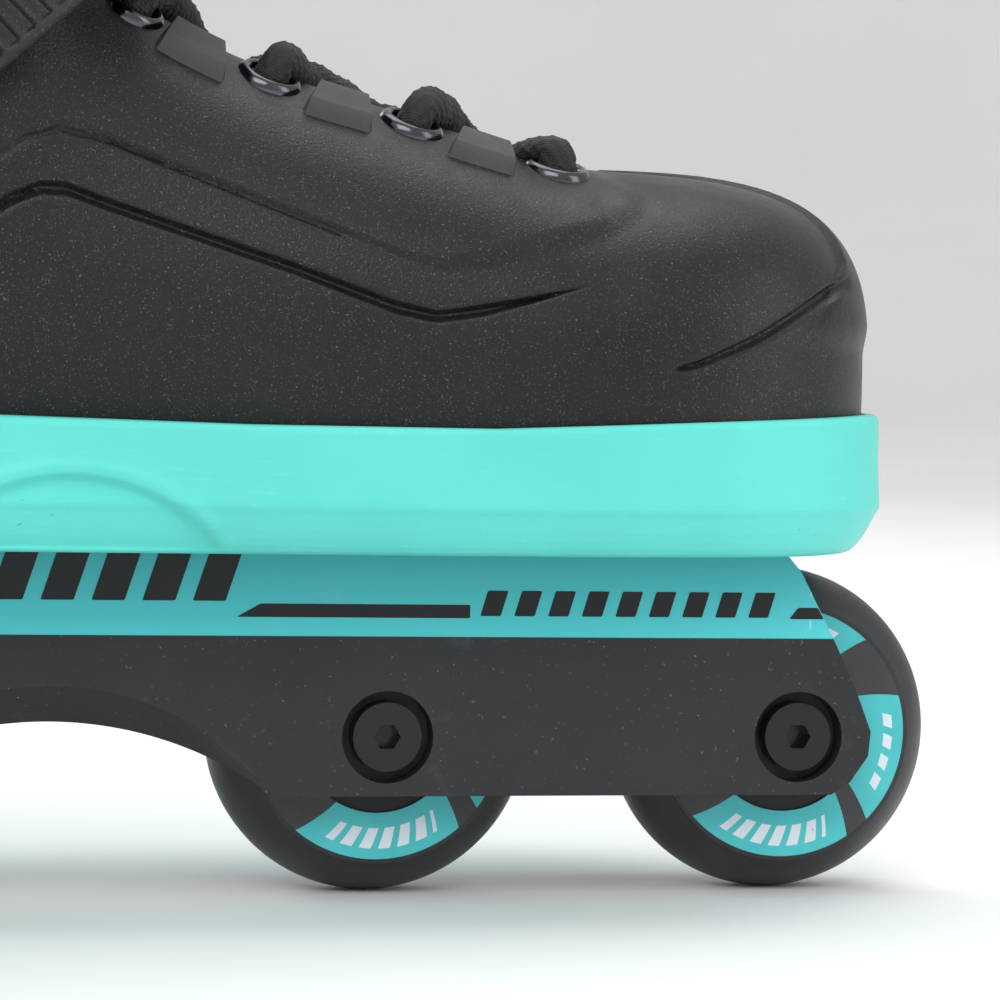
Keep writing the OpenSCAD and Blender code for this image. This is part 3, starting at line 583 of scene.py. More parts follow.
def line_distance(px, pz, line):
    """Signed distance to a line in the side view, positive on its left, and how far along it."""
    line = np.array(line, float)
    best = np.full(px.shape, 1e9)
    side = np.zeros(px.shape)
    along = np.zeros(px.shape)
    gone = 0.0
    for a, b in zip(line[:-1], line[1:]):
        d = b - a
        length = float(np.hypot(*d))
        t = np.clip(((px - a[0]) * d[0] + (pz - a[1]) * d[1]) / length**2, 0, 1)
        ex, ez = px - (a[0] + t * d[0]), pz - (a[1] + t * d[1])
        dist = np.hypot(ex, ez)
        near = dist < best
        best = np.where(near, dist, best)
        side = np.where(near, np.sign(d[0] * ez - d[1] * ex), side)
        along = np.where(near, gone + t * length, along)
        gone += length
    return best * np.where(side == 0, 1, side), along


# ---------------------------------------------------------------- boot shell

# Lines of the side view, as [x, height]: the lower groove's two edges, the raised line and the toe groove
LOW_TOP = [(-52, 89), (-14.6, 116.5), (-9.6, 119.9), (-4.5, 122.0), (-0.3, 121.8), (5.7, 119.7), (36.6, 109.8),
           (53.7, 103.8), (60.5, 102.3), (74.1, 104.6), (87.3, 107.2)]
LOW_BOTTOM = [(-52, 87.6), (-14.6, 113.8), (-9.0, 117.4), (-4.5, 119.3), (0, 118.9), (5.8, 116.9), (36.6, 107.2),
              (53.8, 100.8), (60.1, 99.7), (67.4, 100.7), (77.5, 103.8), (87.3, 107.1)]
UPPER = [(-52, 98), (-14.3, 124.3), (-7.6, 128.9), (-1.6, 130.8), (6.2, 129.2), (54.7, 111.3), (61.1, 109.7),
         (68.4, 110.6), (82.1, 114.3), (90.6, 116.7), (96.6, 120.3), (97.4, 122.4), (94.3, 125.2), (88, 130)]
WEDGE = [(81.3, 87.1), (92.9, 90.1), (106.6, 94.5), (116.8, 98.7), (126.1, 103.7), (131.5, 106.6), (136, 108.4)]


def shell_relief(p):
    """How far the outside of the shell stands proud of its plain shape."""
    x, y, z = p[..., 0], p[..., 1], p[..., 2]
    lt, lb = np.array(LOW_TOP), np.array(LOW_BOTTOM)
    top, low = np.interp(x, lt[:, 0], lt[:, 1]), np.interp(x, lb[:, 0], lb[:, 1])
    width = np.maximum(top - low, 1e-6)
    t = (z - low) / width
    inside = (x > -52) & (x < 87.3) & (t > 0) & (t < 1)
    depth = 1.7 * np.minimum(1, width / 1.6)
    lower = np.where(inside, -depth * ease((1 - t) / 0.34) * ease(t / 0.6), 0)
    d, along = line_distance(x, z, UPPER)
    total = sum(math.dist(a, b) for a, b in zip(UPPER[:-1], UPPER[1:]))
    ramp = 0.9 + 3.4 * ease((along - 118) / 22) * ease((total - along + 4) / 10)
    step = 0.85 * ease(d / ramp + 0.5) * (x < 101) * (x > -60)
    line = -0.4 * np.exp(-((d + 0.5) / 0.35) ** 2) * (along < 110)
    wd, walong = line_distance(x, z, WEDGE)
    wide = 0.25 + 1.3 * np.clip(walong / 50, 0, 1)
    k = wd / wide
    wedge = -1.5 * np.clip(wide / 1.3, 0, 1) * ease((1 - k) / 0.35) * ease((1 + k) / 1.3) * (np.abs(k) < 1)
    wedge = wedge * (x > 80) * (x < 137) * ease((137 - x) / 4)
    way = np.degrees(np.arctan2(np.abs(y), np.maximum(x - TOE_X, 1e-6)))
    edge = np.interp(z, [90, 104, 108.5, 112, 118, 124, 127, 129], [60, 42, 37, 31, 25, 17, 12, 6])
    front = 1.0 * ease((edge - way) / 2.2) * (x > TOE_X) * ease((z - 96) / 6)
    return lower + step + line + wedge + front


shell_cols = boot_columns(170, 250, 70)
shell_out = column_points(shell_cols, 0.0, SOLE_Z, 0, 0, 12, 230)
out_normals = grid_normals(shell_out)
fade = ease((np.arange(len(shell_out)) - 13) / 6)[:, None]
fade = fade * ease((len(shell_out) - 1 - np.arange(len(shell_out))) / 7)[:, None]
shell_out = shell_out + out_normals * (shell_relief(shell_out) * fade)[..., None]
lip_rows = len(shell_out) - 1 - np.arange(len(shell_out))
shell_out -= out_normals * (0.9 * (1 - np.sqrt(1 - (1 - np.clip(lip_rows / 5, 0, 1)) ** 2)))[:, None, None]
shell_in = column_points(shell_cols, WALL, 70.8, 0, 0, 4, 14)
shell = loft("boot_shell_skin", np.vstack([shell_out, shell_in[::-1]]), m_shell, sharp=60)
settle(shell, "chassis", "shell_plastic", "boot_shell")


def boot_point(x, a, inset=0.0):
    """Point of the boot's side at x, and its outward direction."""
    a = math.radians(a)

    def at(xx, aa):
        w = float(smooth_at(BOOT, 1, xx)) - inset
        zm, zt = float(smooth_at(BOOT, 2, xx)), float(smooth_at(BOOT, 3, xx))
        return np.array([xx, w * power(math.cos(aa), 0.86), zm + (zt - zm - inset) * power(math.sin(aa), 0.88)])

    p = at(x, a)
    n = np.cross(at(x, a + 0.05) - p, at(x + 3, a) - p)
    n /= np.linalg.norm(n)
    return p, (n if n[2] > 0 else -n)


def lace_boss(name, x0, side):
    """Sloped block between two eyelets, grown out of the shell."""
    count = 26
    rings = []
    for j in range(count + 1):
        v = j / count
        a = 50.5 + 16.5 * v
        half = 6.6 - 1.9 * v
        lean = -2.4 * (1 - v)
        row = []
        for i in range(count + 1):
            u = -1 + 2 * i / count
            p, n = boot_point(x0 + lean + u * half, a)
            h = 3.6 * ease((1 - abs(u)) / 0.16) * ease(v / 0.28) * ease((1 - v) / 0.05 + 0.05)
            row.append(p + n * (h - 0.25))
        under = [boot_point(x0 + lean + (-1 + 2 * i / count) * half, a)[0]
                 - boot_point(x0 + lean + (-1 + 2 * i / count) * half, a)[1] * 1.6 for i in range(count, -1, -1)]
        rings.append(np.array(row + under) * np.array([1, side, 1]))
    obj = loft(name, rings, m_boss, cap="strip", sharp=28)
    return settle(obj, "chassis", "shell_plastic")


for k, x0 in enumerate((22.6, 47.6, 72.2)):
    for side, word in ((-1, "outer"), (1, "inner")):
        lace_boss("lace_boss_%s_%d" % (word, k + 1), x0, side)

# ---------------------------------------------------------------- eyelets and laces

EYELET_X = (85.0, 59.5, 35.0, 11.8)


def revolve(name, profile, place, axis, material, count=56, sharp=60):
    """Ring of a closed half section turned about an axis."""
    axis = np.asarray(axis, float) / np.linalg.norm(axis)
    u = np.cross(axis, [1, 0, 0])
    u /= np.linalg.norm(u)
    v = np.cross(axis, u)
    profile = np.asarray(profile, float)
    rings = []
    for i in range(count):
        a = 2 * math.pi * i / count
        out = math.cos(a) * u + math.sin(a) * v
        rings.append([place + out * r + axis * h for r, h in profile])
    rings = np.array(rings)
    rings = np.vstack([rings, rings[:1]])
    obj = loft(name, rings[:-1], material, cap=None, sharp=sharp)
    bm = bmesh.new()
    bm.from_mesh(obj.data)
    bm.verts.ensure_lookup_table()
    n = len(profile)
    for i in range(n):
        a, b = (count - 1) * n + i, (count - 1) * n + (i + 1) % n
        bm.faces.new((bm.verts[a], bm.verts[b], bm.verts[(i + 1) % n], bm.verts[i]))
    bmesh.ops.recalc_face_normals(bm, faces=bm.faces)
    bm.to_mesh(obj.data)
    bm.free()
    obj.data.polygons.foreach_set("use_smooth", [True] * len(obj.data.polygons))
    return obj


# Half section of an eyelet ring: [radius, height above the shell]
RING = [(3.5, -1.6), (3.45, 0.3), (3.6, 1.1), (4.0, 1.75), (4.5, 2.0), (5.0, 1.9), (5.5, 1.4), (5.85, 0.7), (6.0, 0.0),
        (5.9, -0.5), (5.0, -1.6)]
for k, x0 in enumerate(EYELET_X):
    for side, word in ((-1, "outer"), (1, "inner")):
        p, n = boot_point(x0, 64)
        flip = np.array([1, side, 1])
        ring = revolve("eyelet_%s_%d" % (word, k + 1), RING, p * flip, n * flip, m_gun)
        settle(ring, "chassis", "black_metal", *(("eyelets",) if k == 0 and side == -1 else ()))


def smooth_path(points, step):
    """Even points along a smooth curve through the given ones."""
    p = np.array(points, float)
    p = np.vstack([2 * p[0] - p[1], p, 2 * p[-1] - p[-2]])
    fine = []
    for i in range(1, len(p) - 2):
        for t in np.linspace(0, 1, 24, endpoint=False):
            fine.append(0.5 * (2 * p[i] + (p[i + 1] - p[i - 1]) * t
                               + (2 * p[i - 1] - 5 * p[i] + 4 * p[i + 1] - p[i + 2]) * t * t
                               + (3 * p[i] - p[i - 1] - 3 * p[i + 1] + p[i + 2]) * t**3))
    fine.append(p[-2])
    fine = np.array(fine)
    length = np.concatenate([[0], np.cumsum(np.linalg.norm(np.diff(fine, axis=0), axis=1))])
    s = np.linspace(0, length[-1], max(8, int(length[-1] / step)))
    return np.stack([np.interp(s, length, fine[:, c]) for c in range(3)], 1), s


def braided(name, points, half_wide, half_high, material, up=(0, 0, 1)):
    """Braided cord along a path, a little flat, with its woven strands as relief."""
    path, s = smooth_path(points, 0.28)
    tangent = np.gradient(path, axis=0)
    tangent /= np.linalg.norm(tangent, axis=1, keepdims=True)
    ref = np.cross(tangent[0], up)
    ref /= np.linalg.norm(ref)
    rings = []
    around = 64
    theta = np.linspace(0, 2 * math.pi, around, endpoint=False)
    for c, t, at in zip(path, tangent, s):
        ref = ref - t * (ref @ t)
        ref /= np.linalg.norm(ref)
        other = np.cross(t, ref)
        one = np.sin(8 * theta + at * 2.6)
        two = np.sin(8 * theta - at * 2.6)
        weave = 0.16 * np.maximum(one * (two > one), two * (one >= two)) + 0.08 * np.maximum(one, two)
        swell = 1 + 0.05 * math.sin(at * 0.7)
        rings.append(c + np.outer(np.cos(theta) * (half_wide * swell + weave), ref)
                     + np.outer(np.sin(theta) * (half_high * swell + weave), other))
    return loft(name, rings, material, sharp=70)


def lace_points(row_from, row_to, side, over):
    """Out of one ring, across the tongue and in under the other side's edge."""
    p, n = boot_point(EYELET_X[row_from], 64)
    q, _ = boot_point(EYELET_X[row_to], 73)
    top = (float(smooth_at(BOOT, 3, p[0])) + float(smooth_at(BOOT, 3, q[0]))) / 2
    lift = 0.9 if over else -1.6
    lead = 1 if q[0] > p[0] else -1
    points = [p - n * 2.0, p + n * 1.6 + np.array([0.2 * lead, 0, 0]),
              p + n * 4.0 + np.array([1.4 * lead, -2.2, 0.4]),
              [p[0] + (q[0] - p[0]) * 0.3, p[1] * 0.55, float(smooth_at(BOOT, 3, p[0] + 4 * lead)) + lift + 0.2],
              [(p[0] + q[0]) / 2, 0, top + lift],
              [q[0] - (q[0] - p[0]) * 0.25, -q[1] * 0.62, float(smooth_at(BOOT, 3, q[0])) + lift - 1.6],
              [q[0], -q[1] - 2.0, q[2] - 5.2]]
    return [np.array(v, float) * np.array([1, -side, 1]) for v in points]


m_lace = woven("lace_cord", (0.008, 0.0082, 0.009), pitch=0.0009, depth=0.00012, sheen=0.04, rough=(0.6, 0.8))
strands = []
for side, word in ((1, "outer"), (-1, "inner")):
    for a, b in ((3, 2), (2, 1), (1, 0)):
        over = (side == 1) == (a % 2 == 1)
        strands.append(("lace_%s_%d" % (word, 4 - a), lace_points(a, b, side, over)))
    strands.append(("lace_%s_4" % word, lace_points(0, 1, side, side == -1)))
for k, (name, points) in enumerate(strands):
    cord = braided(name, points, 3.3, 2.55, m_lace)
    settle(cord, "chassis", "lace", *(("laces",) if k == 0 else ()))

# ---------------------------------------------------------------- soul plate

# Outline of the soul plate, as [x, half width], and the height of its lip by x
PLATE = [
    (-150.2, 8), (-148.6, 16.5), (-145, 24.5), (-138.5, 32), (-128, 38.5), (-112, 44), (-90, 48.5),
    (-60, 51.2), (-20, 52), (30, 52), (80, 51.8), (102, 50.3), (117.6, 46.8), (129.4, 41.6),
    (137.7, 35), (142.7, 27.8), (145.8, 19.2), (147.2, 9),
]
LIP = [(-160, 86.6), (-60, 84.6), (0, 83.4), (30, 82.8), (70, 82.8), (110, 84.6), (160, 86.6)]
outline = [(x, -w, 0) for x, w in PLATE] + [(x, w, 0) for x, w in PLATE[::-1]]
outline = outline + [outline[0]]
edge_line, _ = smooth_path(outline, 0.75)
edge_line = edge_line[:-1, :2]
centre_x = np.clip(edge_line[:, 0], HEEL_X, TOE_X)
out_way = np.stack([edge_line[:, 0] - centre_x, edge_line[:, 1]], 1)
out_reach = np.linalg.norm(out_way, axis=1)
out_way /= out_reach[:, None]
turn_toe = np.arctan2(out_way[:, 1], out_way[:, 0])
seat_reach = np.where(edge_line[:, 0] > TOE_X, oval(turn_toe, TOE_LENGTH, TOE_HALF, TOE_ROUND),
                      np.where(edge_line[:, 0] < HEEL_X, oval(turn_toe, HEEL_LENGTH, HEEL_HALF, HEEL_ROUND),
                               smooth_at(BOOT, 1, centre_x))) + 0.3
lip_z = np.interp(edge_line[:, 0], [p[0] for p in LIP], [p[1] for p in LIP])


def plate_ring(reach, z):
    """Ring of points at a reach from the plate's middle line."""
    base = np.stack([centre_x, np.zeros_like(centre_x)], 1) + out_way * np.asarray(reach)[:, None]
    return np.column_stack([base, np.broadcast_to(z, centre_x.shape)])


PLATE_Z = 61.5
# How far the plate's side stands in from its outline: [inset, height above the underside]
profile = [(8, 0.0), (6.6, 0.05), (5.2, 0.5), (4.0, 1.5), (3.0, 2.8), (2.1, 4.3), (1.3, 5.9), (0.75, 7.0),
           (0.35, 7.6), (0.05, 8.2), (0.0, 9.0), (0.15, 11.0), (0.35, 14.0), (0.45, 17.0)]
profile_z = np.array([p[1] for p in profile])
profile_inset = np.array([p[0] for p in profile])
rings = []
for k in np.linspace(0, 1, 64):
    z = PLATE_Z + 17.0 * k
    inset = np.interp(z - PLATE_Z, profile_z, profile_inset)
    rings.append((np.full(len(centre_x), inset), np.full(len(centre_x), z)))
for share in np.linspace(0.08, 1, 8):
    z = 78.5 + (lip_z - 1.3 - 78.5) * share
    rings.append((np.full(len(centre_x), 0.45), z))
for phi in np.linspace(15, 90, 6):
    f = math.radians(phi)
    rings.append((np.full(len(centre_x), 0.45 + 1.2 * (1 - math.cos(f))), lip_z - 1.3 + 1.3 * math.sin(f)))
plate_rows = []
for inset, z in rings:
    ring = plate_ring(out_reach - inset, z)
    d = 31.9 - np.hypot(ring[:, 0], ring[:, 2] - 42.5)
    side_on = np.abs(out_way[:, 1]) > 0.9
    sink = np.where(side_on, 2.0 * ease((d + 0.4) / 1.6) * ease((ring[:, 2] - 61.4) / 1.5)
                    - 0.5 * np.exp(-((d + 1.4) / 1.0) ** 2) * (np.abs(ring[:, 0]) < 24), 0)
    ring[:, :2] -= out_way * sink[:, None]
    plate_rows.append(ring)
plate_rows.append(plate_ring(seat_reach + 0.5, lip_z))
plate_rows.append(plate_ring(seat_reach + 0.1, lip_z - 0.5))
plate_rows.append(plate_ring(seat_reach, 76.0))
plate_rows.append(plate_ring(seat_reach, 65.75))
plate_rows.append(plate_ring(seat_reach * 0.6, 65.75))
plate = loft("soul_plate_skin", plate_rows, m_plate, sharp=40)
settle(plate, "chassis", "plate_plastic", "soul_plate")

# ---------------------------------------------------------------- printed marks of the frame


def prism(name, corners, y0, y1, material, body="chassis", slot="frame_plastic"):
    """Thin plate from a polygon in the side view, with eased corners."""
    pts = np.array(corners, float)
    rounded = []
    for i in range(len(pts)):
        a, b, c = pts[i - 1], pts[i], pts[(i + 1) % len(pts)]
        r = 0.25
        u, v = (a - b) / np.linalg.norm(a - b), (c - b) / np.linalg.norm(c - b)
        for t in (0, 0.5, 1):
            rounded.append((1 - t) ** 2 * (b + u * r) + 2 * t * (1 - t) * b + t * t * (b + v * r))
    pts = np.array(rounded)
    lower = np.column_stack([pts[:, 0], np.full(len(pts), y0), pts[:, 1]])
    upper = np.column_stack([pts[:, 0], np.full(len(pts), y1), pts[:, 1]])
    obj = loft(name, [lower, upper], material, sharp=30)
    return settle(obj, body, slot)


marks = [[(31.5, 49.6), (72.0, 49.6), (72.0, 51.9), (35.5, 51.9)],
         [(129.3, 49.8), (135.6, 49.8), (134.5, 51.8), (130.9, 51.8)]]
for k in range(5):
    x = -10.5 + k * 8.6
    marks.append([(x, 52.3), (x + 5.6, 52.3), (x + 8.3, 60.6), (x + 2.7, 60.6)])
for k in range(9):
    x = 73.8 + k * 6.0
    marks.append([(x, 50.0), (x + 3.6, 50.0), (x + 4.9, 54.4), (x + 1.3, 54.4)])
for side, word in ((-1, "outer"), (1, "inner")):
    for k, corners in enumerate(marks):
        prism("frame_mark_%s_%02d" % (word, k + 1), corners, side * 20.9, side * 21.06, m_decal)

# ---------------------------------------------------------------- straps

INSTEP_BUCKLE = np.array([-43, -40.4, 128.0])
CUFF_BUCKLE = np.array([-56, -46.2, 246.0])
TILT = math.radians(40)


def instep_at(a, r):
    """Point over the instep at an angle from its top."""
    a = math.radians(a)
    y, up = power(math.sin(a), 0.8), power(math.cos(a), 0.8)
    return np.array([-24 + 40 * up, (42 + r) * y, 142 + (36 + r) * up])


def instep_dir(a):
    """Outward direction over the instep."""
    a = math.radians(a)
    v = np.array([-0.35 * math.cos(a), math.sin(a), math.cos(a) * 0.85])
    return v / np.linalg.norm(v)


def width_dir(a):
    """Direction across the instep strap."""
    q = instep_at(a + 2, 0) - instep_at(a - 2, 0)
    v = np.cross(instep_dir(a), q / np.linalg.norm(q))
    return v / np.linalg.norm(v)


def ladder_strap(name, stations, wide, thick, material, toothed, pitch=3.3):
    """Moulded strap: a plain border and stepped teeth across its middle."""
    c = np.array([s[0] for s in stations], float)
    path, length = smooth_path(c, 0.3)
    keys = np.concatenate([[0], np.cumsum(np.linalg.norm(np.diff(c, axis=0), axis=1))])
    keys *= length[-1] / keys[-1]
    outs, sides = (np.stack([np.interp(length, keys, [s[which][k] / np.linalg.norm(s[which]) for s in stations])
                             for k in range(3)], 1) for which in (1, 2))
    across = np.concatenate([[-1, -0.985, -0.95], np.linspace(-0.9, -0.82, 3), np.linspace(-0.8, 0.8, 9),
                             np.linspace(0.82, 0.9, 3), [0.95, 0.985, 1]])
    rings = []
    for p, o, b, s in zip(path, outs, sides, length):
        o = o / np.linalg.norm(o)
        b = b - o * (b @ o)
        b /= np.linalg.norm(b)
        end = min(s, length[-1] - s)
        half = wide / 2 * (1 - 0.25 * (1 - math.sqrt(1 - (1 - min(1, end / 6)) ** 2)))
        tooth = (s / pitch) % 1.0
        cut = 0.75 * ease(tooth / 0.82) if tooth < 0.86 else 0.75 * (1 - ease((tooth - 0.86) / 0.14))
        row = []
        for w in across:
            edge = 0.45 * thick * (1 - math.sqrt(max(0, 1 - (max(0, abs(w) - 0.93) / 0.07) ** 2)))
            inner = 1 - float(ease((abs(w) - 0.80) / 0.04))
            deep = inner * (cut if toothed[0] <= s <= length[-1] - toothed[1] else 0.0)
            row.append(p + b * w * half + o * (thick / 2 - edge - deep))
        for w in across[::-1]:
            edge = 0.45 * thick * (1 - math.sqrt(max(0, 1 - (max(0, abs(w) - 0.93) / 0.07) ** 2)))
            row.append(p + b * w * half - o * (thick / 2 - edge))
        rings.append(row)
    return loft(name, rings, material, cap="strip", sharp=35)


along = np.array([math.cos(TILT), 0, math.sin(TILT)])
over = np.array([math.sin(TILT), 0, -math.cos(TILT)])
instep_path = [(INSTEP_BUCKLE + along * d - np.array([0, 3.1, 0]), np.array([0, -1.0, 0]), -over)
               for d in (-20, 0, 25)]
instep_path += [(instep_at(a, 1.5), instep_dir(a), width_dir(a)) for a in range(-65, 86, 10)]
instep_path += [(np.array([-30, 43.6, 136.6]), np.array([0, 1.0, 0]), over)]
strap = ladder_strap("instep_strap_skin", instep_path, 24, 2.4, m_strap, (46, 60))
settle(strap, "chassis", "shell_plastic", "instep_strap")

# Cuff: [height, middle x, half length, half width, roundness]
CUFF = [(136, -74.5, 67.2, 45, 3.0), (165, -73, 65.7, 45, 2.9), (200, -66, 60, 45.1, 2.6), (240, -59, 58, 45.4, 2.4),
        (284, -52, 60, 46.2, 2.3)]


def cuff_point(h, a, grow):
    """Point of the cuff's section at a height and an angle."""
    xc, half = smooth_at(CUFF, 1, h), smooth_at(CUFF, 2, h) + grow
    w, e = smooth_at(CUFF, 3, h) + grow, 2 / smooth_at(CUFF, 4, h)
    return np.stack([xc + half * power(np.cos(a), e), w * power(np.sin(a), e),
                     np.broadcast_to(h, np.shape(xc + a))], -1)


cuff_path = [(CUFF_BUCKLE + np.array([d, -3.1, 0]), np.array([0, -1.0, 0]), np.array([0, 0, -1.0]))
             for d in (-20, 0, 25)]
for a in np.arange(-52, 91.1, 7.15):
    r = 4.2 if a < -40 else 3.1
    p, q = cuff_point(246.0, math.radians(a), r), cuff_point(246.0, math.radians(a + 1), r)
    cuff_path.append((p, np.array([q[1] - p[1], p[0] - q[0], 0]), np.array([0, 0, -1.0])))
strap = ladder_strap("cuff_strap_skin", cuff_path, 24, 2.4, m_strap, (46, 40))
settle(strap, "cuff", "shell_plastic", "cuff_strap")

# ---------------------------------------------------------------- cuff

# Heights of the cuff's lower and upper edges, by x
CUFF_LOW = [(-140, 158), (-118, 152), (-96, 146), (-74, 143), (-54, 147), (-38, 168), (-22, 196), (-6, 216), (10, 222)]
CUFF_HIGH = [(-120, 284), (-80, 277), (-20, 266), (10, 262)]


def cuff_wall(name, outside, inside, gap, low, high, material, relief=None, steps=110, count=230, rim=1.3):
    """Wall round the leg, open in front, with rounded edges."""
    ring = np.radians(gap + (360 - 2 * gap) * np.linspace(0, 1, count))
    base = cuff_point(210.0, ring, outside)[:, 0]
    z0 = np.interp(base, *np.array(CUFF_LOW, float).T) if low is None else np.full(count, float(low))
    z1 = np.interp(base, *np.array(CUFF_HIGH, float).T) if high is None else np.full(count, float(high))
    kernel = np.ones(9) / 9
    z0 = np.convolve(np.pad(z0, 4, mode="edge"), kernel, "valid")
    z1 = np.convolve(np.pad(z1, 4, mode="edge"), kernel, "valid")
    steps_round = np.linalg.norm(np.diff(cuff_point(210.0, ring, outside), axis=0), axis=1)
    girth = np.concatenate([[0], np.cumsum(steps_round)])
    rows = []
    for share in np.concatenate([[0, 0.004, 0.01], np.linspace(0.018, 0.982, steps), [0.99, 0.996, 1]]):
        z = z0 + (z1 - z0) * share
        from_edge = np.minimum(np.minimum(z - z0, z1 - z), np.minimum(girth, girth[-1] - girth))
        cut = rim * (1 - np.sqrt(1 - (1 - np.clip(from_edge / rim, 0, 1)) ** 2))
        proud = relief(ring, z, from_edge) if relief is not None else 0
        out = cuff_point(z, ring, outside - cut + proud)
        inn = cuff_point(z, ring, inside + cut)
        rows.append(np.vstack([out, inn[::-1]]))
    return loft(name, rows, material, cap="strip", sharp=50)


def cuff_relief(ring, z, from_edge):
    """Raised rim, a sunk panel on each side and three grooves behind."""
    rim = 0.7 * (1 - ease((from_edge - 4.2) / 0.8))
    turn = np.degrees(ring)
    behind = np.abs(turn - 180)
    groove = sum(-0.9 * np.exp(-((behind - c) / 1.5) ** 2) for c in (0, 13, 26))
    groove = groove * ease((z - 170) / 8) * ease((262 - z) / 8)
    panel = -0.8 * ease((from_edge - 13) / 0.8) * ease((40 - np.abs(behind - 88)) / 1.5) * ease((232 - z) / 1.5)
    return rim + groove + panel * ease((z - 183) / 1.5)


cuff = cuff_wall("cuff_skin", 0, -3, 14.5, None, None, m_cuff, cuff_relief)
settle(cuff, "cuff", "shell_plastic", "cuff")

# ---------------------------------------------------------------- liner, tongue, footbed and pad


def liner_relief(ring, z, from_edge):
    """Quilted padding: a full roll at the top and channels below it."""
    roll = 1.7 * np.exp(-((z - 288) / 6) ** 2)
    channel = sum(-1.1 * np.exp(-((z - c) / 1.2) ** 2) for c in (276, 256, 236, 216))
    return roll + channel


liner_top = cuff_wall("liner_cuff_pad", -3.6, -10.2, 50, 190, 296, m_lining, liner_relief, 90, 150, 3.2)
settle(liner_top, "cuff", "liner_fabric", "liner_cuff")

liner_cols = boot_columns(60, 90, 50)
liner_out = column_points(liner_cols, WALL + 1.8, 75.8, 9.5, 2, 8, 60)
liner_in = column_points(liner_cols, WALL + 7.2, 79.8, 9.5, 2, 8, 60)
normals = grid_normals(liner_out)
rows_in = len(liner_out) - 1 - np.arange(len(liner_out))
round_lip = 2.2 * (1 - np.sqrt(1 - (1 - np.clip(rows_in / 7, 0, 1)) ** 2))
liner_out = liner_out - normals * round_lip[:, None, None]
liner_in = liner_in + normals * round_lip[:, None, None]
seam = -0.5 * np.exp(-((rows_in - 16) / 1.2) ** 2)
liner_in = liner_in - normals * seam[:, None, None]
liner = loft("liner_foot_pad", np.vstack([liner_out, liner_in[::-1]]), m_fabric, sharp=70)
settle(liner, "chassis", "liner_fabric", "liner_foot")

# Centre line of the tongue in front of the shin: [x, height]
SHIN = [(-19, 190), (-20, 206), (-17, 226), (-13, 250), (-9, 274), (-7, 296)]
tongue_keys = []
TONGUE_N = 36
for x in (88, 76, 64, 52, 40, 28, 18, 8, 0, -8):
    spread = 24 if x > 75 else 29
    outer, inner = [], []
    for i in range(TONGUE_N + 1):
        u = i / TONGUE_N
        a = 90 - spread + 2 * spread * u
        full = (4 * u * (1 - u)) ** 0.4
        outer.append(boot_point(x, a, WALL + 3.2 - 1.6 * full)[0])
        inner.append(boot_point(x, a, WALL + 4.4 + 2.2 * full)[0])
    tongue_keys.append(np.array(outer + inner[::-1]))
for x, z in SHIN:
    outer, inner = [], []
    for i in range(TONGUE_N + 1):
        u = i / TONGUE_N
        a = math.radians(50 - 100 * u)
        full = (4 * u * (1 - u)) ** 0.4
        grow = 1.5 * full
        outer.append(np.array([x - 30 + (31.4 + grow) * math.cos(a), (34.4 + grow) * math.sin(a), z]))
        inner.append(np.array([x - 30 + (29.4 - grow) * math.cos(a), (32.4 - grow) * math.sin(a), z]))
    tongue_keys.append(np.array(outer + inner[::-1]))
keys = np.array(tongue_keys)
dense = []
padded_keys = np.concatenate([[2 * keys[0] - keys[1]], keys, [2 * keys[-1] - keys[-2]]])
for i in range(1, len(padded_keys) - 2):
    p0, p1, p2, p3 = padded_keys[i - 1:i + 3]
    for t in np.linspace(0, 1, 12, endpoint=False):
        dense.append(0.5 * (2 * p1 + (p2 - p0) * t + (2 * p0 - 5 * p1 + 4 * p2 - p3) * t * t
                            + (3 * p1 - p0 - 3 * p2 + p3) * t**3))
dense.append(padded_keys[-2])
dense = np.array(dense)
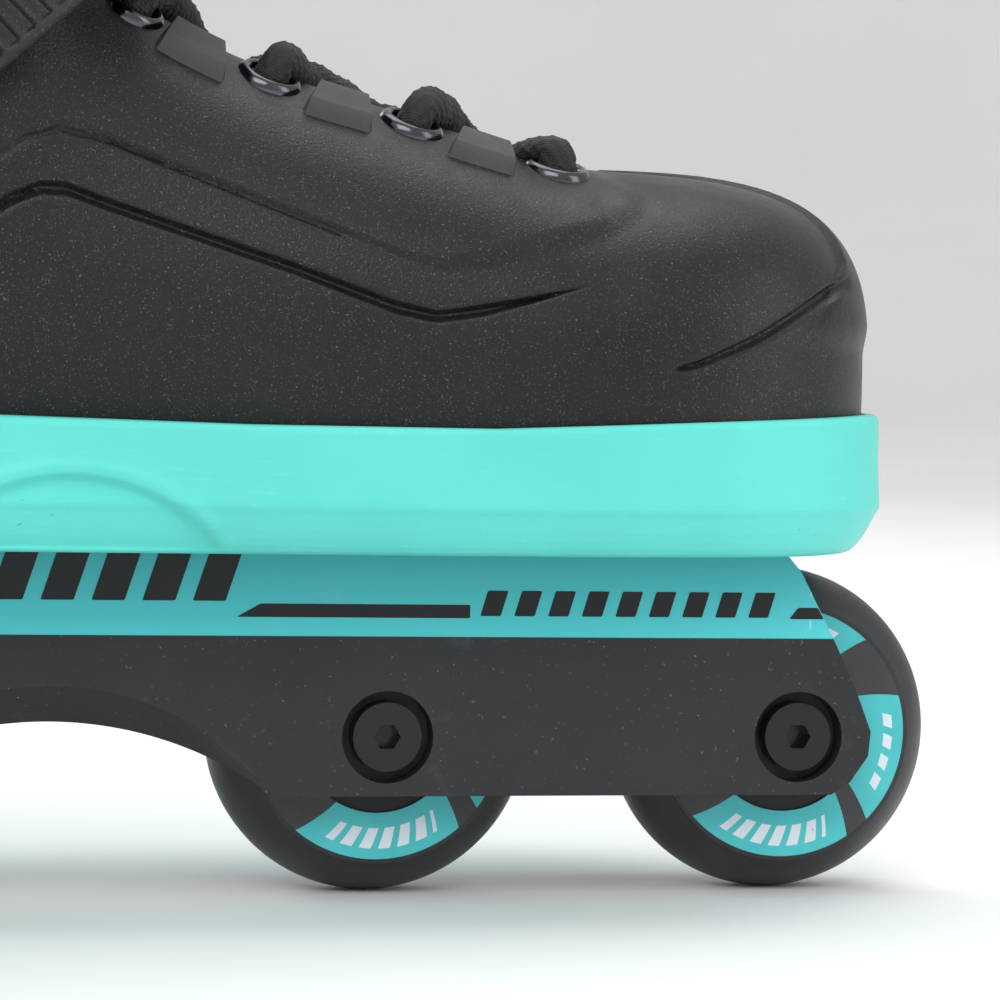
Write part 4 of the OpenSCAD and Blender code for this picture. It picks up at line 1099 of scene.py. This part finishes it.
middle = dense.mean(1, keepdims=True)
from_end = np.minimum(np.arange(len(dense)), len(dense) - 1 - np.arange(len(dense)))
squeeze = np.sqrt(1 - (1 - np.clip((from_end + 0.6) / 6, 0, 1)) ** 2)[:, None, None]
outer_half, inner_half = dense[:, :TONGUE_N + 1], dense[:, TONGUE_N + 1:][:, ::-1]
centre_line = (outer_half + inner_half) / 2
channels = 1 - 0.32 * np.exp(-(((np.arange(len(dense)) % 14) - 7) / 0.8) ** 2)[:, None, None]
spread_out = (outer_half - centre_line) * squeeze * channels
dense = np.concatenate([centre_line + spread_out, (centre_line - spread_out)[:, ::-1]], 1)
tongue = loft("tongue_pad", dense, m_lining, cap="strip", sharp=60)
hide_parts("tongue_lower", "tongue_upper")
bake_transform(tongue)

pad_rings = []
for a in np.linspace(-47, 47, 60):
    c, o, b = instep_at(a, -3.5), instep_dir(a), width_dir(a)
    end = 1 - abs(a) / 47
    thick = 1.2 * math.sqrt(1 - (1 - min(1, end * 6 + 0.05)) ** 2)
    top_row = [c + b * w * 16 + o * thick * (1 - abs(w) ** 5) * 0.95 for w in np.linspace(-1, 1, 24)]
    low_row = [c + b * w * 16 - o * thick * (1 - abs(w) ** 5) * 0.95 for w in np.linspace(1, -1, 24)]
    pad_rings.append(top_row + low_row)
pad = loft("instep_strap_pad", pad_rings, m_fabric, cap="strip", sharp=60)
settle(pad, "chassis", "liner_fabric", "instep_pad")

bed_rings = []
plan = boot_columns(80, 120, 60)
for inset, share, z in ((11.4, 0.0, 80.1), (11.4, 0.84, 80.0), (10.8, 0.845, 81.6), (11.4, 0.83, 82.6),
                        (11.4, 0.6, 82.2), (11.4, 0.3, 82.0), (11.4, 0.02, 82.0)):
    r = (plan[:, 2] - inset) * max(share, 0.02)
    bed_rings.append(np.stack([plan[:, 0] + np.cos(plan[:, 1]) * r, np.sin(plan[:, 1]) * r,
                               np.full(len(plan), z)], 1))
bed = loft("footbed_pad", bed_rings, m_footbed, sharp=60)
settle(bed, "chassis", "foam", "footbed")
